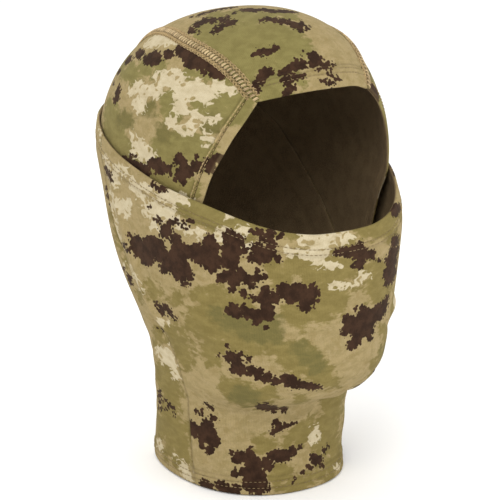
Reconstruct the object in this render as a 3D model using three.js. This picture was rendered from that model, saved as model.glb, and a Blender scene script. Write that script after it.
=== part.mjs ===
// Thin stretch-knit camouflage face mask (hinged balaclava), shaped over a head form.
// Inner hood: a crown strip and two side panels joined by flatlock seams, and a nape panel.
// Outer tube: a neck section and a face section that pulls down off the face, each made of a
// front and a back panel closed by two side seams.
// Millimetres, +Z up. The wearer faces -Y with the left side at +X. z = 0 is the bottom hem.
// Everything is built in the head form's own y and moved to the final origin at the end.
import * as THREE from 'three';

// ---------------------------------------------------------------- driving dimensions
const FABRIC = 1.2;             // thickness of the knit
const HEM_FOLD = 2.4;           // thickness of the doubled bottom hem
const HEM_DEPTH = 16;
const HEM_TAPER = 3;            // run over which the hem thins to single fabric
const SPLIT_Z = 85;             // jaw line: lower edge of the face section
const SPLIT_GAP = 1.0;
const NECK_TOP = SPLIT_Z - SPLIT_GAP;
const TUBE_CLEAR = 0.2;         // tube surface above the head form
const HOOD_IN = 0.6;            // hood's outer face below the head form
const THREAD = 0.8;             // height of a sewn thread band
const THREAD_GAP = 0.5;         // band to fabric
const SEAM_GAP = 1.6;           // between two panels under a seam
const FLATLOCK_WIDTH = 6.5;
const SIDE_SEAM_WIDTH = 5;      // overlocked allowance inside a side seam
const HOOD_FOLD = { y: 106, z: 207 };   // fold line at the nape
const HOOD_LOW = 102;           // lower end of the hood's side panels, inside the tube
const NAPE_LOW = 72;            // lower and upper edges of the nape panel
const NAPE_TOP = HOOD_FOLD.z - 1.6;
const ORIGIN_Y = 4.22665;       // final origin, in the head form's y

// Gradual insets and outsets: size, height at which each starts, and run to its full value
const FLARE = { size: 0.8, start: 115, run: 20 };      // face section widens downwards
const NECK_DRAW = { size: 1.6, start: 62, run: 16 };   // neck section narrows upwards
const HEM_UPRIGHT = { start: 2, run: 6 };              // below the start, offsets are level
const NAPE_INSET = { size: 0.6, start: 100, run: 14 }; // nape panel passes inside the neck
const HOOD_TUCK = { size: 3.5, above: 1.5, run: 12 };  // starts just above the tube's top edge

const COLOURS = { camo: 0x9c9160, thread: 0xb8a070, lining: 0x3a2e27 };
const SIDES = [['left', 1], ['right', -1]];            // name and sign of x
const ACROSS = [-0.5, 0, 0.5];                         // stations over a seam's width

// ---------------------------------------------------------------- measured tables
// Head form: z, half width, reach to the front, reach to the back, and the hood's reach to
// the front, where it hangs free of the face
const HEAD = [
  [0, 51.4, 59.4, 59.2, 50],
  [22, 53.9, 53.8, 54.5, 50],
  [45, 55.0, 55.1, 50.7, 50],
  [65, 58.2, 80.4, 55.3, 55],
  [85, 60.4, 91.3, 64.5, 62],
  [110, 69.1, 91.7, 81.1, 69],
  [135, 72.8, 94.1, 93.5, 74],
  [160, 74.9, 95.3, 99.1, 78],
  [185, 76.5, 81.0, 104.3, 81],
];
const SECTION_POWER = 2.25;     // each level section is a superellipse
// Dome above the last station: height, power of its profile, and y of its apex
const CAP = { z: 185, height: 90.05, power: 2.206, apexY: -16.7 };
const HEAD_CENTRE = [0, 10, 165];   // hood points are projected along rays from here

// Top edge of the tube: degrees round the head (0 front, 180 back), z
const TUBE_TOP = [
  [0, 165.5], [10, 165.7], [20, 167.3], [30, 170.5], [40, 174.5], [50, 178.3], [60, 181.2],
  [75, 184.8], [90, 188.5], [105, 192], [120, 196.5], [135, 201.5], [150, 204.5], [180, 207],
];
// Side seam of the tube: z, y
const SIDE_SEAM = [
  [0, -20], [25, -19], [45, -18.5], [63, -20], [75, -18.5], [88, -12], [98, -7],
  [110, 2], [122, 15], [132, 25], [145, 36], [165, 43], [200, 48],
];

// Hood outlines on the left side: x, y, z
const BROW_CORNER = [37.7, -59.7, 237.9];
// crown seam, from the brow to the nape fold
const CROWN = [
  BROW_CORNER, [40.3, -54.5, 243], [42.2, -46, 249], [44.6, -35, 254.2],
  [46.6, -18.4, 259], [45.6, 6, 261.5], [41.5, 30, 261], [36.5, 52, 256],
  [32.5, 75, 241], [30.5, 92, 222], [30, 99.5, 207.5],
];
// front edge of the side panel, down behind the tube
const FACE_EDGE = [
  BROW_CORNER, [44.9, -58.8, 228.4], [51.6, -56.3, 218.1], [56.7, -53.4, 207.4],
  [60.8, -49.5, 196.3], [64.6, -46.3, 182], [67, -42, 168], [68, -36, 154],
  [67, -27, 130], [64, -15, HOOD_LOW],
];
// brow edge, from beside the middle to the corner
const BROW_LEFT = [[15, -67.6, 242], [28, -64.5, 240.3], BROW_CORNER];
const BROW_MIDDLE = [0, -68.6, 242.6];

// ---------------------------------------------------------------- vectors and interpolation
const sub = (a, b) => [a[0] - b[0], a[1] - b[1], a[2] - b[2]];
const add = (a, b, k = 1) => [a[0] + b[0] * k, a[1] + b[1] * k, a[2] + b[2] * k];
const cross = (a, b) => [
  a[1] * b[2] - a[2] * b[1],
  a[2] * b[0] - a[0] * b[2],
  a[0] * b[1] - a[1] * b[0],
];
const unit = (a) => {
  const length = Math.hypot(...a) || 1;
  return a.map((value) => value / length);
};
const flip = (point, sign) => [sign * point[0], point[1], point[2]];
const mix = (a, b, t) => a + (b - a) * t;
const clamp = (value, low, high) => Math.min(high, Math.max(low, value));
const smooth = (value) => {
  const t = clamp(value, 0, 1);
  return t * t * (3 - 2 * t);
};
const signedPower = (value, power) => Math.sign(value) * Math.abs(value) ** power;
// count + 1 even stations
const steps = (count, from = 0, to = 1) =>
  Array.from({ length: count + 1 }, (_, i) => mix(from, to, i / count));
// count stations round a full turn, without the repeated last one
const turn = (count) => steps(count, 0, 2 * Math.PI).slice(0, -1);

// Shape-preserving cubic through one column of a table, against its first column
function interpolate(table, column = 1) {
  const xs = table.map((row) => row[0]);
  const ys = table.map((row) => row[column]);
  const last = xs.length - 1;
  const widths = steps(last - 1).map((_, i) => xs[i + 1] - xs[i]);
  const slopes = widths.map((width, i) => (ys[i + 1] - ys[i]) / width);
  const tangents = xs.map((_, i) => {
    if (i === 0) return slopes[0];
    if (i === last) return slopes[last - 1];
    if (slopes[i - 1] * slopes[i] <= 0) return 0;
    const before = 2 * widths[i] + widths[i - 1];
    const after = widths[i] + 2 * widths[i - 1];
    return (before + after) / (before / slopes[i - 1] + after / slopes[i]);
  });
  return (x) => {
    if (x <= xs[0]) return ys[0];
    if (x >= xs[last]) return ys[last];
    let i = 0;
    while (x > xs[i + 1]) i++;
    const t = (x - xs[i]) / widths[i];
    const t2 = t * t;
    const t3 = t2 * t;
    return ys[i] * (2 * t3 - 3 * t2 + 1) + widths[i] * tangents[i] * (t3 - 2 * t2 + t)
      + ys[i + 1] * (-2 * t3 + 3 * t2) + widths[i] * tangents[i + 1] * (t3 - t2);
  };
}

// Smooth path through points, by share of its length
function curve(points) {
  const vectors = points.map((point) => new THREE.Vector3(...point));
  const path = new THREE.CatmullRomCurve3(vectors, false, 'centripetal');
  return (t) => path.getPointAt(t).toArray();
}

// ---------------------------------------------------------------- head form
const [halfWidthAt, frontAt, backAt, hoodFrontAt] = [1, 2, 3, 4]
  .map((column) => interpolate(HEAD, column));
const tubeTopAt = interpolate(TUBE_TOP);
const sideSeamY = interpolate(SIDE_SEAM);

// Level section at z: half width, half length, centre y
function section(z, hood = false) {
  const level = Math.min(z, CAP.z);
  const front = hood ? hoodFrontAt(level) : frontAt(level);
  const back = backAt(level);
  const width = halfWidthAt(level);
  const length = (front + back) / 2;
  const centre = (back - front) / 2;
  if (z <= CAP.z) return [width, length, centre];
  const rise = Math.min(0.99999, (z - CAP.z) / CAP.height);
  const scale = (1 - rise ** CAP.power) ** (1 / CAP.power);
  return [width * scale, length * scale, centre + (1 - scale) * (CAP.apexY - centre)];
}

// Point at a section angle (0 front, a quarter turn the wearer's left) and height
function formPoint(angle, z) {
  const [width, length, centre] = section(z);
  return [
    width * signedPower(Math.sin(angle), 2 / SECTION_POWER),
    centre - length * signedPower(Math.cos(angle), 2 / SECTION_POWER),
    z,
  ];
}

// Section angle on the left side at which the form has the given y
function angleOfY(y, z) {
  const [, length, centre] = section(z);
  return Math.acos(-signedPower(clamp((y - centre) / length, -1, 1), SECTION_POWER / 2));
}

// Negative inside the form, positive outside
function field([x, y, z], hood) {
  const [width, length, centre] = section(z, hood);
  return Math.abs(x / width) ** SECTION_POWER
    + Math.abs((y - centre) / length) ** SECTION_POWER - 1;
}

function normalAt(point, hood = false) {
  const reach = 0.05;
  const axes = [[1, 0, 0], [0, 1, 0], [0, 0, 1]];
  return unit(axes.map((axis) =>
    field(add(point, axis, reach), hood) - field(add(point, axis, -reach), hood)));
}

// Height of the tube's top edge in the direction of a point
const topNear = (point) =>
  tubeTopAt(Math.abs(Math.atan2(point[0], -point[1])) * 180 / Math.PI);

// Height of the tube's top edge at a section angle, by iteration from a first guess
function topAtAngle(angle) {
  let z = 185;
  for (let i = 0; i < 12; i++) z = topNear(formPoint(angle, z));
  return z;
}

// ---------------------------------------------------------------- fabric layers
// Projection to the hood's form along a ray from the head centre, by bisection
function toHood(point) {
  const ray = unit(sub(point, HEAD_CENTRE));
  let inside = 0;
  let outside = 220;
  for (let i = 0; i < 48; i++) {
    const middle = (inside + outside) / 2;
    const trial = add(HEAD_CENTRE, ray, middle);
    if (trial[2] < CAP.z + CAP.height - 1e-6 && field(trial, true) < 0) inside = middle;
    else outside = middle;
  }
  return add(HEAD_CENTRE, ray, inside);
}

// Extra inset where the tube covers the hood
const tuckAt = (point) =>
  HOOD_TUCK.size * smooth((topNear(point) + HOOD_TUCK.above - point[2]) / HOOD_TUCK.run);

// Hood layer: lift is measured from the hood's outer face
function hoodPoint(point, lift) {
  const base = toHood(point);
  return add(base, normalAt(base, true), lift - HOOD_IN - tuckAt(base));
}

// Face section: lift is measured from its inner face
function maskPoint(angle, z, lift) {
  const base = formPoint(angle, z);
  const flare = FLARE.size * smooth((FLARE.start - z) / FLARE.run);
  return add(base, normalAt(base), TUBE_CLEAR + flare + lift);
}

// Neck section: lift is measured from its outer face
function neckPoint(angle, z, lift) {
  const base = formPoint(angle, z);
  const normal = normalAt(base);
  const draw = NECK_DRAW.size * smooth((z - NECK_DRAW.start) / NECK_DRAW.run);
  const slope = smooth((z - HEM_UPRIGHT.start) / HEM_UPRIGHT.run);
  const [x, y, up] = unit([normal[0], normal[1], normal[2] * slope]);
  const offset = TUBE_CLEAR - draw + lift;
  return [base[0] + x * offset, base[1] + y * offset, z + up * (lift - draw) * slope];
}

// Section angle across a tube panel, whose edges stand back from the side seams
function panelAngle(isFront, z, across) {
  const edge = angleOfY(sideSeamY(z) + (isFront ? -1 : 1) * SEAM_GAP / 2, z);
  return isFront ? mix(-edge, edge, across) : mix(edge, 2 * Math.PI - edge, across);
}

// Section angle at a share of the side seam's width
const sideSeamAngle = (sign, z, across) =>
  sign * angleOfY(sideSeamY(z) + across * SIDE_SEAM_WIDTH, z);

// ---------------------------------------------------------------- sheets
// Six times the signed volume inside the triangles
function signedVolume(positions, index) {
  const corner = (i) => positions.slice(index[i] * 3, index[i] * 3 + 3);
  let volume = 0;
  for (let i = 0; i < index.length; i += 3) {
    const [x, y, z] = corner(i);
    const normal = cross(corner(i + 1), corner(i + 2));
    volume += x * normal[0] + y * normal[1] + z * normal[2];
  }
  return volume;
}

// Solid between two faces of pointAt(row, column, lift), at lifts [first, second].
// A closed sheet joins its last column to its first.
function sheet(rows, columns, pointAt, lifts, closed = false) {
  const positions = lifts.flatMap((lift) =>
    rows.flatMap((row) => columns.flatMap((column) => pointAt(row, column, lift))));
  const height = rows.length;
  const width = columns.length;
  const index = [];
  const id = (face, r, c) => (face * height + r) * width + (closed ? c % width : c);
  const quad = (a, b, c, d) => index.push(a, b, c, a, c, d);
  const spans = closed ? width : width - 1;
  for (let r = 0; r < height - 1; r++) {
    for (let c = 0; c < spans; c++) {
      quad(id(0, r, c), id(0, r, c + 1), id(0, r + 1, c + 1), id(0, r + 1, c));
      quad(id(1, r, c), id(1, r + 1, c), id(1, r + 1, c + 1), id(1, r, c + 1));
    }
  }
  const end = height - 1;
  for (let c = 0; c < spans; c++) {
    quad(id(0, 0, c), id(1, 0, c), id(1, 0, c + 1), id(0, 0, c + 1));
    quad(id(0, end, c), id(0, end, c + 1), id(1, end, c + 1), id(1, end, c));
  }
  if (!closed) {
    for (let r = 0; r < end; r++) {
      quad(id(0, r, 0), id(0, r + 1, 0), id(1, r + 1, 0), id(1, r, 0));
      quad(id(0, r, spans), id(1, r, spans), id(1, r + 1, spans), id(0, r + 1, spans));
    }
  }
  // turn the triangles outwards
  if (signedVolume(positions, index) < 0) {
    for (let i = 0; i < index.length; i += 3) {
      [index[i + 1], index[i + 2]] = [index[i + 2], index[i + 1]];
    }
  }
  const geometry = new THREE.BufferGeometry();
  geometry.setAttribute('position', new THREE.Float32BufferAttribute(positions, 3));
  geometry.setIndex(index);
  geometry.computeVertexNormals();
  return geometry;
}

// Lifts of a thread band above or below a fabric face
const threadOver = (face = 0) => [face + THREAD_GAP + THREAD, face + THREAD_GAP];
const threadUnder = (face = 0) => [face - THREAD_GAP, face - THREAD_GAP - THREAD];

const group = new THREE.Group();

const fabricMaterial = (color) =>
  new THREE.MeshStandardMaterial({ color, roughness: 0.92, metalness: 0 });

function addPart(name, colour, geometry) {
  const mesh = new THREE.Mesh(geometry, fabricMaterial(colour));
  mesh.name = name;
  group.add(mesh);
}

// ---------------------------------------------------------------- neck section
const NECK_LEVELS = [26, 38, 48, 56, 63, 70, 77];

function neckPanel(isFront) {
  const foldTop = HEM_DEPTH - HEM_TAPER;
  const levels = [0, 3, 9, foldTop, HEM_DEPTH, ...NECK_LEVELS, NECK_TOP];
  const thickness = (z) => (z <= foldTop ? HEM_FOLD : FABRIC);
  // the third argument is the share of the thickness below the outer face
  const pointAt = (z, across, depth) =>
    neckPoint(panelAngle(isFront, z, across), z, -depth * thickness(z));
  return sheet(levels, steps(18), pointAt, [0, 1]);
}

// Overlocked allowance inside the neck section
function neckSideSeam(sign) {
  const pointAt = (z, across, lift) => neckPoint(sideSeamAngle(sign, z, across), z, lift);
  return sheet([19, ...NECK_LEVELS, 82], ACROSS, pointAt, threadUnder(-FABRIC));
}

// Stitching band round the bottom hem
function neckHemStitching() {
  const pointAt = (z, angle, lift) => neckPoint(angle, z, lift);
  return sheet([3.2, 8.4], turn(48), pointAt, threadOver(), true);
}

// ---------------------------------------------------------------- face section
function maskPanel(isFront) {
  const firstTop = 190;   // guess at the top edge, only to start the iteration
  const pointAt = (rise, across, lift) => {
    // the seam's angle depends on height, and height on angle: settle both together
    let z = mix(SPLIT_Z, firstTop, rise);
    let angle = 0;
    for (let i = 0; i < 10; i++) {
      angle = panelAngle(isFront, z, across);
      z = mix(SPLIT_Z, topAtAngle(angle), rise);
    }
    return maskPoint(angle, z, lift);
  };
  return sheet(steps(9), steps(isFront ? 26 : 20), pointAt, [FABRIC, 0]);
}

// Overlocked allowance inside the face section
function maskSideSeam(sign) {
  const pointAt = (z, across, lift) => maskPoint(sideSeamAngle(sign, z, across), z, lift);
  return sheet(steps(10, 97, 182), ACROSS, pointAt, threadUnder());
}

// Stitching band below the top edge, all the way round
function maskHemStitching() {
  const pointAt = (drop, angle, lift) => maskPoint(angle, topAtAngle(angle) - drop, lift);
  return sheet([11, 6], turn(60), pointAt, threadOver(FABRIC), true);
}

// ---------------------------------------------------------------- hood
// Plane through the fold line, running down and forward at 45 degrees
const foldY = (z) => HOOD_FOLD.y - (HOOD_FOLD.z - z);

const mirrored = (points, sign) => points.map((point) => flip(point, sign));
const crownSeamPath = { 1: curve(CROWN), [-1]: curve(mirrored(CROWN, -1)) };
const faceEdgePath = { 1: curve(FACE_EDGE), [-1]: curve(mirrored(FACE_EDGE, -1)) };
// right corner to left corner
const browPath = curve([...mirrored(BROW_LEFT, -1).reverse(), BROW_MIDDLE, ...BROW_LEFT]);

// Patch between four edges: top and bottom run across, start and end run down
function patchBetween(top, bottom, start, end) {
  return (u, v) => {
    const [a, b, c, d] = [top(v), bottom(v), start(u), end(u)];
    const [topStart, topEnd, bottomStart, bottomEnd] = [top(0), top(1), bottom(0), bottom(1)];
    return a.map((_, k) => (1 - u) * a[k] + u * b[k] + (1 - v) * c[k] + v * d[k]
      - (1 - u) * ((1 - v) * topStart[k] + v * topEnd[k])
      - u * ((1 - v) * bottomStart[k] + v * bottomEnd[k]));
  };
}

// Point beside a path on the hood. A positive shift goes to -X from the crown seams;
// on the face edges it goes back on the left side and forward on the right.
function beside(path, t, shift) {
  const base = toHood(path(t));
  const step = t < 0.5 ? 0.01 : -0.01;
  const other = toHood(path(t + step));
  const along = unit(step > 0 ? sub(other, base) : sub(base, other));
  return add(base, cross(normalAt(base, true), along), shift);
}

// Edge of a panel half a seam gap from the crown seam; inward is 1 or -1
const crownEdge = (sign, inward) => (t) =>
  beside(crownSeamPath[sign], t, sign * inward * SEAM_GAP / 2);

function hoodSheet(rows, columns, patch) {
  const pointAt = (u, v, lift) => hoodPoint(patch(u, v), lift);
  return sheet(steps(rows), steps(columns), pointAt, [0, -FABRIC]);
}

function crownPanel() {
  const backBow = 4;   // bow of the back edge at its middle
  const right = crownEdge(-1, 1);
  const left = crownEdge(1, 1);
  const front = (v) => {
    const [, y, z] = browPath(v);
    return [mix(right(0)[0], left(0)[0], v), y, z];
  };
  const back = (v) => {
    const [cornerX, y, z] = right(1);
    const x = mix(cornerX, left(1)[0], v);
    return [x, y + backBow * (1 - (x / cornerX) ** 2), z];
  };
  return hoodSheet(18, 8, patchBetween(front, back, right, left));
}

function hoodSidePanel(sign) {
  const low = { x: 70, y: foldY(HOOD_LOW) - 0.6 };   // lower back corner before the bow
  const backBow = 3;                                 // forward shift growing down the edge
  const widenRun = 56;                               // drop over which it reaches low.x
  const top = crownEdge(sign, -1);
  const faceEdge = faceEdgePath[sign];
  const front = (u) => add(faceEdge(u), sub(top(0), faceEdge(0)), 1 - u);
  const back = (u) => {
    const corner = top(1);
    const z = mix(corner[2], HOOD_LOW, u);
    const x = mix(corner[0], sign * low.x, smooth((corner[2] - z) / widenRun));
    return [x, mix(corner[1], low.y, u) - backBow * smooth(u), z];
  };
  const bottom = (v) => {
    const a = front(1);
    const b = back(1);
    return [mix(a[0], b[0], v), mix(a[1], b[1], v), HOOD_LOW];
  };
  return hoodSheet(13, 16, patchBetween(top, bottom, front, back));
}

// Flatlock seam over the butted edges
function crownSeam(sign) {
  const pointAt = (t, across, lift) =>
    hoodPoint(beside(crownSeamPath[sign], t, across * FLATLOCK_WIDTH), lift);
  return sheet(steps(26, 0.004, 0.99), ACROSS, pointAt, threadOver());
}

// Stitching band above the brow edge, between the two crown seams
function browStitching() {
  const pointAt = (distance, t, lift) => {
    const base = toHood(browPath(t));
    const up = unit(cross(normalAt(base, true), [1, 0, 0]));
    return hoodPoint(add(base, up, distance), lift);
  };
  return sheet([7, 11.2], steps(12, 0.07, 0.93), pointAt, threadOver());
}

// Stitching band along a side panel's front edge, above the tube
function faceEdgeStitching(sign) {
  const extraGap = 0.12;
  const pointAt = (t, distance, lift) =>
    hoodPoint(beside(faceEdgePath[sign], t, sign * distance), lift);
  return sheet(steps(12, 0.075, 0.44), [4.2, 6.6], pointAt, threadOver(extraGap));
}

// ---------------------------------------------------------------- nape panel
// Its side edges keep behind the fold plane. Low down they stand at a fixed y and
// then ease forward until the fold plane takes over.
const NAPE_EDGE = { y: 36, easeZ: 112, ease: 0.2, foldGap: 1.2, maxReach: 0.97 };

function napePoint(z, across, lift) {
  const [, length, centre] = section(z);
  const eased = NAPE_EDGE.y - NAPE_EDGE.ease * Math.max(0, z - NAPE_EDGE.easeZ);
  const edgeY = Math.max(foldY(z) + NAPE_EDGE.foldGap, eased);
  // the edges stop short of the rearmost point, so the panel keeps some width
  const edge = angleOfY(Math.min(centre + length * NAPE_EDGE.maxReach, edgeY), z);
  const base = formPoint(mix(edge, 2 * Math.PI - edge, across), z);
  const inset = NAPE_INSET.size * smooth((NAPE_INSET.start - z) / NAPE_INSET.run);
  return add(base, normalAt(base), lift - HOOD_IN - tuckAt(base) - inset);
}

const napePanel = () =>
  sheet(steps(14, NAPE_LOW, NAPE_TOP), steps(12), napePoint, [0, -FABRIC]);
const napeSeam = () =>
  sheet([75, 79.5], steps(12, 0.03, 0.97), napePoint, threadUnder(-FABRIC));

// ---------------------------------------------------------------- assembly
function addPair(prefix, colour, build) {
  for (const [side, sign] of SIDES) addPart(`${prefix}_${side}`, colour, build(sign));
}

addPart('neck_front_panel', COLOURS.camo, neckPanel(true));
addPart('neck_back_panel', COLOURS.camo, neckPanel(false));
addPair('neck_side_seam', COLOURS.thread, neckSideSeam);
addPart('neck_hem_stitching', COLOURS.thread, neckHemStitching());

addPart('mask_front_panel', COLOURS.camo, maskPanel(true));
addPart('mask_back_panel', COLOURS.camo, maskPanel(false));
addPair('mask_side_seam', COLOURS.thread, maskSideSeam);
addPart('mask_hem_stitching', COLOURS.thread, maskHemStitching());

addPart('hood_crown_panel', COLOURS.camo, crownPanel());
addPair('hood_side_panel', COLOURS.camo, hoodSidePanel);
addPair('crown_seam', COLOURS.thread, crownSeam);
addPart('brow_hem_stitching', COLOURS.thread, browStitching());
addPair('side_hem_stitching', COLOURS.thread, faceEdgeStitching);

addPart('nape_panel', COLOURS.lining, napePanel());
addPart('nape_seam', COLOURS.thread, napeSeam());

for (const mesh of group.children) mesh.geometry.translate(0, -ORIGIN_Y, 0);

export default group;
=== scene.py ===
"""Looks of the camouflage face mask: a hinged balaclava of thin stretch knit.

An inner hood (crown strip, two side panels, flatlock seams, hemmed face opening) stands inside a
neck and face tube (front and back panel, two side seams, hemmed top and bottom). Millimetres until
a mesh is made; +Z up; the wearer faces -Y; the wearer's right is -X; z = 0 is the bottom hem.
"""

import math

import bpy
import numpy as np
from mathutils import Matrix, Vector


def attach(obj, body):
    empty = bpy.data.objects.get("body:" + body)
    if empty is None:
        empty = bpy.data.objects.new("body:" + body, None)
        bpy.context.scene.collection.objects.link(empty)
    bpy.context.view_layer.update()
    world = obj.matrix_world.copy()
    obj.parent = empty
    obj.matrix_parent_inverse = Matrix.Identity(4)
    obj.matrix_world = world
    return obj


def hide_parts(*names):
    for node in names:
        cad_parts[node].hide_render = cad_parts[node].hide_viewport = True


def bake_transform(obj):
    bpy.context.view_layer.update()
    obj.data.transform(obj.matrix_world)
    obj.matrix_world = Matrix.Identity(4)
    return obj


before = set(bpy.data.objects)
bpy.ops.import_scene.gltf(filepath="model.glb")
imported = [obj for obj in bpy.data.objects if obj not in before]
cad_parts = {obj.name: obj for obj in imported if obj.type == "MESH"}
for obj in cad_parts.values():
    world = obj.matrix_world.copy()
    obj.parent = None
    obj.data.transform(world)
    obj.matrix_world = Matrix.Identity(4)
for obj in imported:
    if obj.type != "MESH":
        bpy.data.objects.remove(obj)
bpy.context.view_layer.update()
MM = 0.001
ORIGIN = np.array([0, 4.22665, 0])     # origin of the meshes, in the head form's own axes
LEFT, RIGHT = 1, -1                    # the wearer's sides, as the sign of x
SIDES = (("left", LEFT), ("right", RIGHT))
rng = np.random.default_rng(7)

# ------------------------------------------------ sizes of the head form under the cloth
# half width, reach to the back and the hood's reach to the front, at heights Z
Z = [0, 22, 45, 65, 85, 110, 135, 160, 185]
WIDE = [51.4, 53.9, 55.0, 58.6, 60.6, 69.1, 72.8, 74.9, 76.5]
BACK = [56.6, 52.6, 49.2, 52.6, 60.6, 77.6, 91.2, 97.6, 104.0]
HOOD_FRONT = [50, 50, 50, 55, 62, 69, 74, 78, 81]
# the tube's reach to the front, at its own heights
FRONT_Z = [0, 12, 22, 45, 52, 56, 60, 66, 74, 85, 110, 135, 160, 185]
FRONT = [59.4, 55.6, 53.9, 54.6, 56.5, 62.0, 70.5, 80.5, 87.5, 91.0, 92.2, 94.1, 95.3, 81.0]
CAP_Z, CAP_H, CAP_POWER, CAP_Y = 185, 90.05, 2.206, -16.7     # dome over the crown
POWER = 2.25                                                  # superellipse of a level section
HEAD_CENTRE = np.array([0, 10, 165.0])

# top edge of the tube: height by degrees away from the front
TOP_ANGLE = [0, 10, 20, 30, 40, 50, 60, 75, 90, 105, 120, 135, 150, 180]
TOP_Z = [165.5, 165.7, 167.3, 170.5, 174.5, 178.3, 181.2, 184.8, 188.5, 192, 196.5, 201.5, 204.5,
         207]
# side seam of the tube: y by height
SEAM_Z = [0, 25, 45, 63, 75, 88, 98, 110, 122, 132, 145, 165, 200]
SEAM_Y = [-20, -19, -18.5, -20, -18.5, -12, -7, 2, 15, 25, 36, 43, 48]

# edges of the hood panels, x, y, z, given for the left and starting after the face corner
CROWN = [[40.3, -54.5, 243], [42.2, -46, 249], [44.6, -35, 254.2], [46.6, -18.4, 259],
         [45.6, 6, 261.5], [41.5, 30, 261], [36.5, 52, 256], [32.5, 75, 241], [30.5, 92, 222],
         [30, 99.5, 207.5]]
FACE_SIDE = [[44.9, -58.8, 228.4], [51.6, -56.3, 218.1], [56.7, -53.4, 207.4], [60.8, -49.5, 196.3],
             [64.6, -46.3, 182], [67, -42, 168], [68, -36, 154], [67, -27, 130], [64, -15, 102]]
# brow edge from right to left, between the corners
BROW = [[-28, -64.5, 240.3], [-15, -67.6, 242], [0, -68.6, 242.6], [15, -67.6, 242],
        [28, -64.5, 240.3]]
CORNER = {RIGHT: [-37.7, -59.7, 237.9], LEFT: [36.0, -60.8, 236.0]}    # the left one is rounder

FOLD_Y, FOLD_Z = 106.0, 207.0        # the nape fold over which the hood turns back
HOOD_LOW, NAPE_LOW = 102.0, 72.0
HOOD_IN, HOOD_TUCK, TUCK_RUN = 0.6, 2.4, 20.0
CLOTH = 1.2                          # cloth thickness
GROOVE, GROOVE_WIDTH = 0.42, 0.55    # where a row of stitches pulls the cloth in
MASK_HEM, NECK_HEM = 10.9, 9.9       # top and bottom hem of the tube
MASK_ROWS, NECK_ROWS = (7.0, 10.0), (4.0, 7.5)
BROW_HEM, BROW_LIFT, BROW_ROWS = 12.2, 0.5, (7.6, 10.5)
SIDE_ROWS = (5.9, 7.1)               # stitch rows behind the side edges of the face opening


# ------------------------------------------------ small mathematics
def mix(first, second, share):
    return first + (second - first) * share


def smooth(share):
    share = np.clip(share, 0, 1)
    return share * share * (3 - 2 * share)


def bell(distance, width):
    return np.exp(-((distance / width) ** 2))


def unit(vectors):
    return vectors / np.maximum(np.linalg.norm(vectors, axis=-1, keepdims=True), 1e-12)


def signed_power(value, power):
    return np.sign(value) * np.abs(value) ** power


def numbers(text, columns):
    return np.array(text.split(), float).reshape(-1, columns)


def run_along(points, axis=0):
    """Length run from the first point along an axis of a line or grid of points."""
    steps = np.linalg.norm(np.diff(points, axis=axis), axis=-1)
    return np.cumsum(np.insert(steps, 0, 0.0, axis=axis), axis=axis)


def hermite(share, start, start_slope, end, end_slope):
    sq, cube = share * share, share * share * share
    return (start * (2 * cube - 3 * sq + 1) + start_slope * (cube - 2 * sq + share)
            + end * (3 * sq - 2 * cube) + end_slope * (cube - sq))


def pchip(stations, values):
    """Cubic through the stations that never overshoots, held beyond the ends."""
    stations, values = np.array(stations, float), np.array(values, float)
    gaps = np.diff(stations)
    rise = np.diff(values) / gaps
    slope = np.zeros(len(stations))
    slope[0], slope[-1] = rise[0], rise[-1]
    for i in range(1, len(stations) - 1):
        if rise[i - 1] * rise[i] > 0:
            before, after = 2 * gaps[i] + gaps[i - 1], gaps[i] + 2 * gaps[i - 1]
            slope[i] = (before + after) / (before / rise[i - 1] + after / rise[i])

    def value_at(x):
        x = np.clip(x, stations[0], stations[-1])
        i = np.clip(np.searchsorted(stations, x, side="right") - 1, 0, len(stations) - 2)
        return hermite((x - stations[i]) / gaps[i], values[i], gaps[i] * slope[i],
                       values[i + 1], gaps[i] * slope[i + 1])

    return value_at


def curve(points):
    """Centripetal Catmull-Rom curve: a function of the share of length, and the length."""
    points = np.array(points, float)
    padded = np.vstack([2 * points[0] - points[1], points, 2 * points[-1] - points[-2]])
    parts = []
    for i in range(len(points) - 1):
        four = padded[i:i + 4]
        before, start, end, after = four
        gap0, gap1, gap2 = [max(np.linalg.norm(far - near), 1e-9) ** 0.5
                            for near, far in zip(four, four[1:])]
        slope1 = ((start - before) / gap0 - (end - before) / (gap0 + gap1)
                  + (end - start) / gap1) * gap1
        slope2 = ((end - start) / gap1 - (after - start) / (gap1 + gap2)
                  + (after - end) / gap2) * gap1
        share = np.linspace(0, 1, 40, endpoint=(i == len(points) - 2))[:, None]
        parts.append(hermite(share, start, slope1, end, slope2))
    line = np.vstack(parts)
    run = run_along(line)

    def path(share):
        along = np.clip(share, 0, 1) * run[-1]
        return np.stack([np.interp(along, run, line[:, k]) for k in range(3)], -1)

    return path, run[-1]


# ------------------------------------------------ head form
LEVELS = np.arange(-24, 275, 1.0)


def levels(heights, values, ease):
    """A dimension by height, extended below the hem and eased so that the cloth shows no bands."""
    rough = pchip(heights, values)
    slope = (rough(2.0) - rough(0.0)) / 2
    base = rough(np.clip(LEVELS, 0, CAP_Z)) + np.where(LEVELS < 0, slope * LEVELS, 0)
    eased = base.copy()
    for i, z in enumerate(LEVELS):
        weight = np.exp(-0.5 * ((LEVELS - z) / ease(z)) ** 2)
        eased[i] = (weight * base).sum() / weight.sum()
    return pchip(LEVELS, eased)


def ease_side(z):
    return 9.0 if z < 178 else max(2.0, 9.0 - (z - 178) * 0.5)


def ease_front(z):
    return 1.6 if 44 < z < 70 else 5.0     # sharper where the chin overhangs the neck


wide_at = levels(Z, WIDE, ease_side)
back_at = levels(Z, BACK, ease_side)
front_at = levels(FRONT_Z, FRONT, ease_front)
hood_front_at = levels(Z, HOOD_FRONT, ease_side)
top_table = pchip(TOP_ANGLE, TOP_Z)
seam_y = levels(SEAM_Z, SEAM_Y, lambda z: 6.0)


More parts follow.
